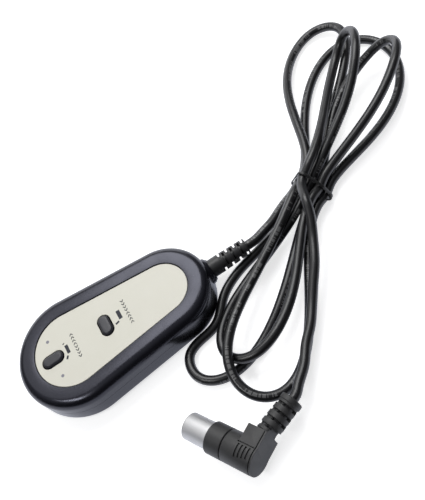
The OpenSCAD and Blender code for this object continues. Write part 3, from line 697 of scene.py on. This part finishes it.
def slot_rows(count, first, pitch, width, depth, middle, half_even, half_odd):
    """Slots on both sides, in rows that face by turns towards middle and square to it."""
    rows = []
    for i in range(count):
        low = first + pitch * i
        turned_by, half = (90.0, half_odd) if i % 2 else (0.0, half_even)
        for side in (0.0, 180.0):
            rows.append((low, low + width, middle + turned_by + side, half, depth))
    return rows


def make_handset_relief(finish):
    def radius_at(z):
        share = min(1.0, max(0.0, (z - RELIEF_FIRST) / (RELIEF_L - RELIEF_FIRST)))
        return (RELIEF_D + (RELIEF_TIP_D - RELIEF_D) * share) / 2

    slots = slot_rows(
        RELIEF_SLOTS, RELIEF_FIRST, RELIEF_PITCH, RELIEF_SLOT, RELIEF_DEPTH, *RELIEF_TURNS
    )

    def place(p):
        return (p[0], BOSS_TIP_Y + p[2], EXIT_Z - p[1])

    return ribbed_sleeve(
        "handset_relief_sleeve", radius_at, slots, RELIEF_L + 0.5, finish, place, root=3.5
    )


# ---------------- cord route

TIE_AT = np.array([-10.0, 120.5])
TIE_TURN = math.radians(30.5)
ACROSS_TIE = np.array([math.cos(TIE_TURN), math.sin(TIE_TURN)])
ALONG_TIE = np.array([-math.sin(TIE_TURN), math.cos(TIE_TURN)])
CELLS = [(-1.5, 0), (1.5, 0), (-1, 1), (-0.5, 0), (0.5, 0), (1, 1), (0, 1), (-0.45, 2.2)]
LOW = CORD_D / 2 + CORD_LIFT
# Each loop: lean, length, half width, bow, pinch, side, first cell, last cell, heights.
LOOPS = [
    (124.5, 101, 24, -7, 1.1, -1, 0, 1, (4, 3, LOW, LOW, 3, 5, 5.5)),
    (-49, 113, 17.5, -7, 2.5, -1, 1, 2, (5.5, LOW, 4, 9, 13, 11, 12)),
    (148, 109, 16.5, 8, 2.1, -1, 2, 3, (9.5, 8, 3, 4.5, 8.5, 6, LOW)),
    (-58.5, 113, 17, 5, 1.8, 1, 3, 4, (LOW, LOW, LOW, 3.5, 3, 4.5, LOW)),
    (116.5, 91.5, 12.5, -3, 1.1, -1, 4, 5, (6, 10, 10.5, 17.5, 24, 19, 11.5)),
    (-52, 98.5, 14.5, 4, 2.4, -1, 5, 6, (10.5, 8.5, 10.5, 7.5, 5, 5, 7.5)),
    (122.5, 88.5, 8, -16, 2, 1, 6, 7, (12, 20.5, 29, 21.5, 11, 13.5, 17)),
]
HANDSET_RUN = [(-2, 87, 8.5), (-4.5, 93.5, 7.5), (-8.5, 100, 6), (-12, 106, 4.5)]
HANK_END = [(-7, 115, 15.2), (1.8, 112.4, 17.4), (10.3, 109.3, 15.1)]
PLUG_RUN = [(18, 105, 12.3), (30, 98, 11), (39, 91, 9.5), (47, 85, 8.5)]
PLUG_RUN += [(55, 79, 8.5), (62, 72, 8.5), (70, 66, 9), (76, 59.5, 10)]
RINGS_PER_LOOP = 24
WALL_CLEARANCE = 0.85
# Strands run straight for this far on each side of the tie's middle.
STRAIGHT = TIE_W / 2 + 0.5


def row_height(cell):
    return FIRST_ROW + ROW_STEP * cell[1]


def cell_point(index, far=0.0):
    """Point of the strand in a cell of the tie, far along it from the tie's middle."""
    at = TIE_AT + STRAND_PITCH * CELLS[index][0] * ACROSS_TIE + far * ALONG_TIE
    return np.array([*at, row_height(CELLS[index])])


def crossing(index, side):
    """Where a strand crosses the tie, going towards side 1 or -1 of it."""
    return [cell_point(index, -side * STRAIGHT), cell_point(index, side * STRAIGHT)]


def curve_point(values, i, f):
    """Point a share f of the way from value i to the next, on a smooth curve."""
    p1, p2 = values[i], values[i + 1]
    p0 = values[i - 1] if i > 0 else 2 * p1 - p2
    p3 = values[i + 2] if i + 2 < len(values) else 2 * p2 - p1
    return 0.5 * (
        2 * p1
        + (p2 - p0) * f
        + (2 * p0 - 5 * p1 + 4 * p2 - p3) * f**2
        + (3 * p1 - p0 - 3 * p2 + p3) * f**3
    )


def through(values, t):
    """Smooth curve through the values, at t from 0 to 1."""
    n = len(values) - 1
    x = min(t * n, n - 1e-4)
    return curve_point(values, int(x), x - int(x))


def beside_housing(p):
    """Keeps a strand on the table clear of the housing's round end."""
    reach = NARROW_R + CORD_D / 2 + WALL_CLEARANCE
    v = np.array([p[0], p[1] - NARROW_Y])
    d = np.linalg.norm(v)
    if p[0] > 0 and d < reach:
        v = v * reach / d
        return np.array([v[0], NARROW_Y + v[1], p[2]])
    return p


def loop_point(shape, u):
    """Point of a loop: out from the tie along its lean, round the end and back."""
    lean, length, width, bow, pinch, side, first, last, heights = shape
    a = math.sin(math.pi * u) ** 2
    peak = 2 * ((pinch + 1) / (pinch + 2)) ** ((pinch + 1) / 2) / math.sqrt(pinch + 2)
    swell = math.sin(2 * math.pi * u) * abs(math.sin(math.pi * u)) ** pinch / peak
    blend = 1 - (1 - a) ** 5
    leave = ALONG_TIE if lean > 0 else -ALONG_TIE
    turn = math.radians(lean)
    out = np.array([math.cos(turn), math.sin(turn)])
    aside = np.array([math.sin(turn), -math.cos(turn)])
    place = STRAND_PITCH * CELLS[first if u < 0.5 else last][0]
    xy = (
        TIE_AT
        + length * a * ((1 - blend) * leave + blend * out)
        + (side * width * swell * blend + bow * a * a) * aside
        + (1 - a) ** 2 * place * ACROSS_TIE
    )
    rise = [row_height(CELLS[first]), *heights, row_height(CELLS[last])]
    return beside_housing(np.array([*xy, through(rise, u)]))


def plug_matrix():
    """Where the plug lies: X along its shell, Y towards its strain relief."""
    high = (
        SHELL_D / 2 * math.cos(math.radians(PLUG_TILT))
        + SHELL_L * math.sin(math.radians(PLUG_TILT))
        + PLUG_LIFT
    )
    return (
        Matrix.Translation((*PLUG_AT, high))
        @ Matrix.Rotation(math.radians(PLUG_TURN), 4, "Z")
        @ Matrix.Rotation(math.radians(-PLUG_TILT), 4, "Y")
        @ Matrix.Rotation(math.radians(PLUG_ROLL), 4, "X")
    )


PLUG = plug_matrix()


def neck_matrix():
    """Where the plug's strain relief starts, its own Z along it."""
    return (
        PLUG
        @ Matrix.Translation((ELBOW_END - NECK_BACK, BLOCK_REACH, 0))
        @ Matrix.Rotation(math.radians(-NECK_LEAN), 4, "Z")
        @ Matrix.Rotation(math.radians(-90), 4, "X")
    )


NECK = neck_matrix()


def unit(v):
    return v / np.linalg.norm(v)


def cord_points():
    """Chosen and computed points of the whole cord, from the handset to the plug."""
    exit_at = np.array([0, RELIEF_TIP_Y, EXIT_Z])
    points = [exit_at, exit_at + (0, CORD_D + 0.5, 0)]
    points += [np.array(p, float) for p in HANDSET_RUN]
    points.append(cell_point(0, -6.0))
    for shape in LOOPS:
        points += crossing(shape[6], 1 if shape[0] > 0 else -1)
        points += [loop_point(shape, i / RINGS_PER_LOOP) for i in range(2, RINGS_PER_LOOP - 1)]
    points += crossing(len(LOOPS), -1)
    points += [np.array(p, float) for p in HANK_END + PLUG_RUN]
    points += [np.array(NECK @ Vector((0, 0, z))) for z in (NECK_L + CORD_D / 2, NECK_L)]
    return np.array(points)


def smooth_path(points, step=0.8):
    """Even points on one smooth curve through the chosen points."""
    fine = [curve_point(points, i, f / 12) for i in range(len(points) - 1) for f in range(12)]
    fine.append(points[-1])
    path = even(np.array(fine), step / 4)
    return even(relaxed(path, 8), step)


def relaxed(path, reach):
    """Evens out short kinks, as the stiffness of the jacket does; both ends stay put."""
    ahead, behind = path[-1] - path[-2], path[1] - path[0]
    before = path[0] + behind * np.arange(-3 * reach, 0)[:, None]
    after = path[-1] + ahead * np.arange(1, 3 * reach + 1)[:, None]
    longer = np.vstack([before, path, after])
    share = np.exp(-0.5 * (np.arange(-3 * reach, 3 * reach + 1) / reach) ** 2)
    share /= share.sum()
    return np.column_stack([np.convolve(longer[:, k], share, "valid") for k in range(3)])


def length_so_far(path):
    return np.r_[0, np.cumsum(np.linalg.norm(np.diff(path, axis=0), axis=1))]


def even(path, step):
    """Points about step apart along a path."""
    gone = length_so_far(path)
    at = np.linspace(0, gone[-1], int(round(gone[-1] / step)) + 1)
    return np.column_stack([np.interp(at, gone, path[:, k]) for k in range(3)])


def swept_tube(name, path, radius, sides, finish):
    """Tube along a path without twist. A UV map called jacket holds the length along it and
    the length round it, in millimetres."""
    heading = np.gradient(path, axis=0)
    heading /= np.linalg.norm(heading, axis=1)[:, None]
    up = np.array([0.0, 0.0, 1.0])
    gone = length_so_far(path)
    points = []
    for p, t in zip(path, heading):
        up = up - t * up.dot(t)
        up /= np.linalg.norm(up)
        across = np.cross(up, t)
        for k in range(sides):
            a = 2 * math.pi * k / sides
            points.append(p + radius * (math.cos(a) * up + math.sin(a) * across))
    rows = len(path)
    faces = bands(rows, sides)
    faces += [tuple(range(sides)), tuple(range((rows - 1) * sides, rows * sides))]
    made = mesh_piece(name, points, faces, finish, smooth=60)
    wrap = made.data.uv_layers.new(name="jacket")
    round_mm = math.pi * CORD_D
    for face in made.data.polygons:
        ks = [v % sides for v in face.vertices]
        over = max(ks) - min(ks) > sides // 2
        for loop, v in zip(face.loop_indices, face.vertices):
            k = v % sides
            if over and k < sides // 2:
                k += sides
            wrap.data[loop].uv = (gone[min(v // sides, rows - 1)], k / sides * round_mm)
    return made


def make_cord(finish):
    """The whole cord; its jacket goes on for a millimetre inside both strain reliefs."""
    path = smooth_path(cord_points())
    inside = np.array([path[0] + unit(path[0] - path[1]), path[-1] + unit(path[-1] - path[-2])])
    jacket = np.vstack([inside[:1], path, inside[1:]])
    cord = swept_tube("cord_jacket", jacket, CORD_D / 2, 24, finish)
    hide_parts("cord_handset_run", "cord_hank", "cord_plug_run")
    return cord, path


# ---------------- tie


def bundle_outline(grow, count=120):
    """Skin round all strands in the tie, as (across, height) points."""
    centres = [(STRAND_PITCH * c[0], row_height(c)) for c in CELLS]
    r = CORD_D / 2 + grow
    points = []
    for d in round_points(1.0, count):
        far = max(centres, key=lambda c: c[0] * d[0] + c[1] * d[1])
        points.append((far[0] + r * d[0], far[1] + r * d[1]))
    return points


def make_tie(finish):
    """Coated wire once round the bundle, with a rounded section."""
    rows, sides = [], 12
    for k in range(sides):
        a = 2 * math.pi * k / sides
        grow = TIE_GAP + TIE_T / 2 + TIE_T / 2 * math.cos(a)
        off = TIE_SECTION_W / 2 * math.sin(a)
        ring = []
        for across, high in bundle_outline(grow):
            xy = TIE_AT + across * ACROSS_TIE + off * ALONG_TIE
            ring.append((*xy, high))
        rows.append(ring)
    points = [p for row in rows for p in row]
    faces = bands(len(rows), len(rows[0]), closed_path=True)
    tie = mesh_piece("tie_band", points, faces, finish, smooth=50)
    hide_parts("twist_tie")
    return tie


def make_tie_end(finish):
    """End of the tie's wire, standing off the outermost strand as an open loop."""
    column, row = STRAND_PITCH * CELLS[1][0], row_height(CELLS[1])
    points = []
    for along, far, turn in TIE_END:
        across = column + far * math.cos(math.radians(turn))
        high = row + far * math.sin(math.radians(turn))
        xy = TIE_AT + across * ACROSS_TIE + along * ALONG_TIE
        points.append(np.array((*xy, high)))
    path = smooth_path(points, step=0.3)
    return swept_tube("tie_end", path, TIE_WIRE_R, 12, finish)


# ---------------- plug


def turned(name, profile, finish, count=96):
    """Piece of the plug turned about its X axis. profile is a closed line of (x, r) points."""
    points = [PLUG @ Vector((x, *p)) for x, r in profile for p in round_points(r, count)]
    faces = bands(len(profile), count, closed_path=True)
    return mesh_piece(name, points, faces, finish)


def make_shell(finish):
    r, inner, lip = SHELL_D / 2, SHELL_D / 2 - SHELL_WALL, 0.25
    profile = [
        (RING_L, inner),
        (RING_L, SHELL_TAIL_D / 2),
        (0.02, SHELL_TAIL_D / 2),
        (0.0, r),
        (-SHELL_L + 0.6, r),
        (-SHELL_L + lip, r - 0.06),
        (-SHELL_L + 0.07, r - 0.2),
        (-SHELL_L, (r + inner) / 2),
        (-SHELL_L + 0.07, inner + 0.15),
        (-SHELL_L + lip, inner),
    ]
    piece = turned("shell_tube", profile, finish)
    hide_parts("plug_shell")
    return piece


def make_ring(finish):
    r, bore, edge = GRIP_D / 2, SHELL_TAIL_D / 2 + 0.02, 0.3
    profile = (
        [(0.0, bore), (0.0, r - edge - 0.2)]
        + [(0.1, r - edge + 0.06), (edge, r - 0.02)]
        + [(RING_L - 0.35, r), (RING_L - 0.08, r - 0.2), (RING_L - 0.08, bore)]
    )
    piece = turned("ring_sleeve", profile, finish)
    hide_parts("plug_ring")
    return piece


def block_mesh(low, high):
    (x0, y0, z0), (x1, y1, z1) = low, high
    points = [(x, y, z) for x in (x0, x1) for y in (y0, y1) for z in (z0, z1)]
    faces = [(0, 1, 3, 2), (4, 6, 7, 5), (0, 4, 5, 1), (2, 3, 7, 6), (0, 2, 6, 4), (1, 5, 7, 3)]
    return points, faces


def helper(points, faces):
    """Helper object in millimetres, for joining or cutting."""
    data = bpy.data.meshes.new("helper")
    data.from_pydata([tuple(p) for p in points], [], faces)
    made = put_in_scene("helper", data)
    face_outwards(data)
    return made


def combine(base, other, operation):
    """Joins or cuts base with other and removes other."""
    step = base.modifiers.new("combine", "BOOLEAN")
    step.operation = operation
    step.solver = "EXACT"
    step.object = other
    bake(base)
    bpy.data.objects.remove(other)


def bake(piece):
    """Applies the modifiers of a piece to its mesh."""
    view = bpy.context.evaluated_depsgraph_get()
    view.update()
    data = bpy.data.meshes.new_from_object(piece.evaluated_get(view))
    piece.modifiers.clear()
    piece.data = data


def cylinder_points(x0, x1, r, count=96):
    points = [(x, *p) for x in (x0, x1) for p in round_points(r, count)]
    faces = bands(2, count)
    faces += [tuple(range(count)), tuple(range(count, 2 * count))]
    return points, faces


def ring_segment(x0, x1, r0, r1, start, end, steps=16):
    """Closed piece of a ring round X, from start to end degrees above the Y axis."""
    points = []
    for a in sweep(start, end, steps):
        for x, r in ((x0, r0), (x1, r0), (x1, r1), (x0, r1)):
            points.append((x, r * math.cos(a), r * math.sin(a)))
    last = 4 * steps
    faces = bands(steps + 1, 4) + [(0, 1, 2, 3), (last, last + 1, last + 2, last + 3)]
    return points, faces


def round_edges(piece, width, segments):
    soft = piece.modifiers.new("edges", "BEVEL")
    soft.width, soft.segments = width, segments
    soft.limit_method = "ANGLE"
    soft.angle_limit = math.radians(40)
    bake(piece)


def elbow_slice(x0, x1, inset):
    """Drum and square block between two planes, smaller by inset all round."""
    half = BLOCK_H / 2 + 0.3 - inset
    body = helper(*cylinder_points(x0, x1, GRIP_D / 2 - inset))
    block = block_mesh((max(x0, BLOCK_START), 0, -half), (x1, BLOCK_REACH - inset, half))
    combine(body, helper(*block), "UNION")
    return body


def make_elbow(finish):
    """Right-angle moulding: drum and square block with grip grooves, and an end cap that
    a fine groove sets off."""
    cap = ELBOW_END - CAP_T
    body = elbow_slice(ELBOW_START + 0.1, cap - CAP_GROOVE, 0.0)
    round_edges(body, 0.3, 2)
    combine(body, elbow_slice(cap - CAP_GROOVE - 0.3, ELBOW_END - 0.2, 0.7), "UNION")
    lid = elbow_slice(cap, ELBOW_END, 0.12)
    round_edges(lid, 0.35, 3)
    combine(body, lid, "UNION")
    combine(body, helper(*cylinder_points(RING_L, ELBOW_START + 0.5, GRIP_D / 2 - 1.0)), "UNION")
    for face in (1, -1):
        z0, z1 = sorted((face * (BLOCK_H / 2 - 0.45), face * (BLOCK_H / 2 + 2)))
        step = block_mesh((BLOCK_START - 0.5, 2.2, z0), (cap - CAP_GROOVE - 0.2, 2.75, z1))
        combine(body, helper(*step), "DIFFERENCE")
        for i in range(GRIPS):
            x0 = BLOCK_START + GRIP_FIRST + GRIP_PITCH * i
            ends = sorted((face * GRIP_FROM, face * (GRIP_TO - GRIP_TAPER * i)))
            groove = ring_segment(
                x0, x0 + GRIP_W, GRIP_D / 2 - GRIP_DEPTH, GRIP_D / 2 + 1, *ends
            )
            combine(body, helper(*groove), "DIFFERENCE")
    points = [PLUG @ v.co for v in body.data.vertices]
    faces = [tuple(p.vertices) for p in body.data.polygons]
    bpy.data.objects.remove(body)
    piece = mesh_piece("elbow_moulding", points, faces, finish, smooth=30)
    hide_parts("plug_body")
    return piece


def make_neck(finish):
    def radius_at(z):
        taper = (NECK_D + (NECK_TIP_D - NECK_D) * z / NECK_L) / 2
        waist = WAIST_DEPTH * max(0.0, 1 - abs(z - WAIST_AT) / WAIST_HALF)
        return taper - waist + (COLLAR_RISE if z > NECK_L - COLLAR_L else 0.0)

    slots = [NECK_ROOT_RING]
    for first, pitch, width, depth, arcs in (NECK_UPPER, NECK_UNDER):
        for i in range(NECK_GROOVES):
            low = first + pitch * i
            slots += [(low, low + width, middle, half, depth) for middle, half in arcs]

    def place(p):
        local = PLUG.inverted() @ NECK @ Vector(p)
        if p[2] < NECK_ROOT:
            local.x = min(local.x, ELBOW_END - NECK_INSET)
        local.y = max(local.y, BLOCK_REACH - 0.05)
        return PLUG @ local

    piece = ribbed_sleeve("neck_sleeve", radius_at, slots, NECK_L, finish, place)
    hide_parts("plug_strain_relief")
    return piece


# ---------------- floor and light


TABLE_SIZE, TABLE_GLOW = 6.0, 0.7
# World light, by the dot product of the view with a direction: brighter towards it.
SKY_TOWARDS = (-0.5, 0.0, 0.85)
SKY = {"From Min": 0.2, "From Max": 0.9, "To Min": 0.06, "To Max": 0.42}
# Area lights: place and size in metres, power in watts.
LIGHTS = {
    "window_softbox": ((-0.50, 0.20, 0.82), (0.70, 0.50), 5.5),
    "window_edge": ((-0.54, -0.38, 0.76), (0.45, 0.50), 0.6),
    "wall_panel": ((-1.20, 0.00, 0.24), (1.60, 0.50), 4.4),
    "strip_light": ((0.14, -0.47, 0.88), (0.45, 0.09), 2.3),
}
LIGHT_AIM = (0.0, 0.04, 0.0)


def make_floor():
    """White table that keeps a faint shadow of the object."""
    bpy.ops.mesh.primitive_plane_add(size=TABLE_SIZE, location=(0, 0, 0))
    floor = bpy.context.object
    floor.name = "floor"
    made = bpy.data.materials.new("white_table")
    made.use_nodes = True
    tree = made.node_tree
    tree.nodes.clear()
    rays = add(tree, "LightPath").outputs
    seen = rays["Is Camera Ray"]
    for other in ("Is Glossy Ray", "Is Transmission Ray"):
        seen = add(tree, "Math", {"operation": "MAXIMUM"}, {0: seen, 1: rays[other]})
    strength = add(tree, "Math", {"operation": "MULTIPLY", 1: TABLE_GLOW}, {0: seen})
    whites = {"data_type": "RGBA", 6: linear("#e9eeff"), 7: linear("#ffffff")}
    hue = add(tree, "Mix", whites, {0: rays["Is Camera Ray"]}).outputs[2]
    glow = add(tree, "Emission", {}, {"Color": hue, "Strength": strength})
    paint = add(tree, "BsdfDiffuse", {"Color": linear("#e0e0e0")})
    both = add(tree, "AddShader", {}, {0: glow, 1: paint})
    add(tree, "OutputMaterial", {}, {"Surface": both})
    floor.data.materials.append(made)


def area_light(name, at, size, power):
    data = bpy.data.lights.new(name, "AREA")
    data.shape = "RECTANGLE"
    data.size, data.size_y = size
    data.energy = power
    made = put_in_scene(name, data)
    made.location = at
    aim = Vector(LIGHT_AIM) - Vector(at)
    made.rotation_euler = aim.to_track_quat("-Z", "Y").to_euler()


def make_light():
    """Studio tent, darkest on the right, with a softbox, a lit wall and a strip light."""
    world = bpy.data.worlds.new("studio")
    bpy.context.scene.world = world
    world.use_nodes = True
    tree = world.node_tree
    background = tree.nodes["Background"]
    background.inputs["Color"].default_value = linear("#f0f2fa")
    sky = add(tree, "TexCoord").outputs["Generated"]
    way = add(tree, "VectorMath", {"operation": "DOT_PRODUCT", 1: SKY_TOWARDS}, {0: sky})
    add(tree, "MapRange", SKY, {"Value": way.outputs["Value"]}, background.inputs["Strength"])
    for name, settings in LIGHTS.items():
        area_light(name, *settings)


# ---------------- assembly

FINISH = {
    "housing_abs": housing_abs(),
    # Polycarbonate sheet with a fine matt texture.
    "plate_ivory": grained(
        "plate_ivory", "#dcdacb", 0.48, ("#d9d7c8", "#dedccf"), (14.0, 2.0), (0.35, 2.0, 0.008), IOR=1.58
    ),
    # Silicone-coated ABS, satin.
    "button_grey": grained(
        "button_grey", "#2c2c32", 0.36, ("#292930", "#303036"), (3.0, 2.0), (0.3, 2.0, 0.006), IOR=1.5
    ),
    "cord_pvc": cord_pvc(),
    # Moulded PVC over the cord, a little duller than the housing.
    "relief_pvc": grained(
        "relief_pvc", "#1f1f20", 0.42, ("#1c1c1d", "#262627"), (2.0, 2.0), (0.4, 3.0, 0.012), IOR=1.53
    ),
    # Moulded PVC of the plug, matt with a spark-eroded grain.
    "plug_pvc": grained(
        "plug_pvc", "#2b2b2b", 0.5, ("#272727", "#313131"), (1.5, 3.0), (0.3, 2.0, 0.02), IOR=1.5
    ),
    "shell_nickel": shell_nickel(),
    "ink": screen_ink("grey_ink", "#33353b", "#44464c"),
    "dot_ink": screen_ink("dot_ink", "#86868e", "#92929a"),
    # Nylon, injection moulded: cream, dull, slightly wavy.
    "nylon": plain("moulded_nylon", "#b9b4a0", 0.5, 2.0, 0.01),
    # PBT, injection moulded: near black, dull.
    "case": plain("switch_case_pbt", "#26262b", 0.5, 1.0, 0.01),
    # Glass-fibre laminate under green solder resist: soft gloss over a fine weave.
    "laminate": plain("board_laminate", "#2a6238", 0.35, 0.8, 0.01),
    # Zinc-plated steel: pale grey metal, lightly mottled.
    "zinc": plain("zinc_plated_steel", "#b9bbbf", 0.35, 0.6, 0.01, Metallic=1.0),
    # PVC, extruded on the wire: red, smooth.
    "wire": plain("wire_insulation", "#963226", 0.4, 1.0, 0.005),
    # PBT, injection moulded: black, dull.
    "insert": plain("insert_pbt", "#232323", 0.5, 0.8, 0.01),
    # Nickel-plated brass: pale warm metal, bright.
    "pin": plain("plated_pin", "#c9c7c0", 0.25, 0.5, 0.004, Metallic=1.0),
    # PVC over the tie's wire: black, glossy.
    "tie": plain("tie_pvc", "#202020", 0.3, 0.8, 0.01),
}
KEPT = {
    "nylon": ("retract_plunger", "extend_plunger", "cord_clamp"),
    "case": ("retract_switch", "extend_switch"),
    "laminate": ("circuit_board",),
    "zinc": ("board_screws", "housing_screws", "clamp_screws"),
    "relief_pvc": ("inner_cord_end",),
    "wire": ("lead_wires",),
    "insert": ("plug_insert",),
    "pin": ("contact_pins",),
}


def dress_kept_nodes():
    for finish, names in KEPT.items():
        for name in names:
            node = NODES[name]
            node.data.materials.clear()
            node.data.materials.append(FINISH[finish])
            soften(node, 35)


make_camera()
cord, cord_path = make_cord(FINISH["cord_pvc"])

top = make_top_cover(FINISH["housing_abs"])
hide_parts("top_cover")
base = make_base_cover(FINISH["housing_abs"])
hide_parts("base_cover")
upper_boss = make_exit_boss("boss_upper_half", FINISH["housing_abs"], 8, 172, -0.4)
lower_boss = make_exit_boss("boss_lower_half", FINISH["housing_abs"], -188, 8, 0.0)
plate = make_face_plate(FINISH["plate_ivory"])
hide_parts("face_plate")
retract = make_button("retract_cap", RETRACT_Y, 0, FINISH["button_grey"], "retract_key")
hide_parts("retract_button")
extend = make_button("extend_cap", EXTEND_Y, 90, FINISH["button_grey"], "extend_key")
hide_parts("extend_button")
make_prints(FINISH["ink"], FINISH["dot_ink"])

relief = make_handset_relief(FINISH["relief_pvc"])
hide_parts("handset_strain_relief")
tie = make_tie(FINISH["tie"])
tie_end = make_tie_end(FINISH["tie"])
shell_piece = make_shell(FINISH["shell_nickel"])
ring_piece = make_ring(FINISH["plug_pvc"])
elbow = make_elbow(FINISH["plug_pvc"])
neck = make_neck(FINISH["plug_pvc"])
dress_kept_nodes()

cord_length = float(length_so_far(cord_path)[-1]) * MM
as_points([tuple(p * MM) for p in cord_path[::2]] + [tuple(cord_path[-1] * MM)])

make_floor()
make_light()
bpy.context.scene.view_settings.view_transform = "Standard"
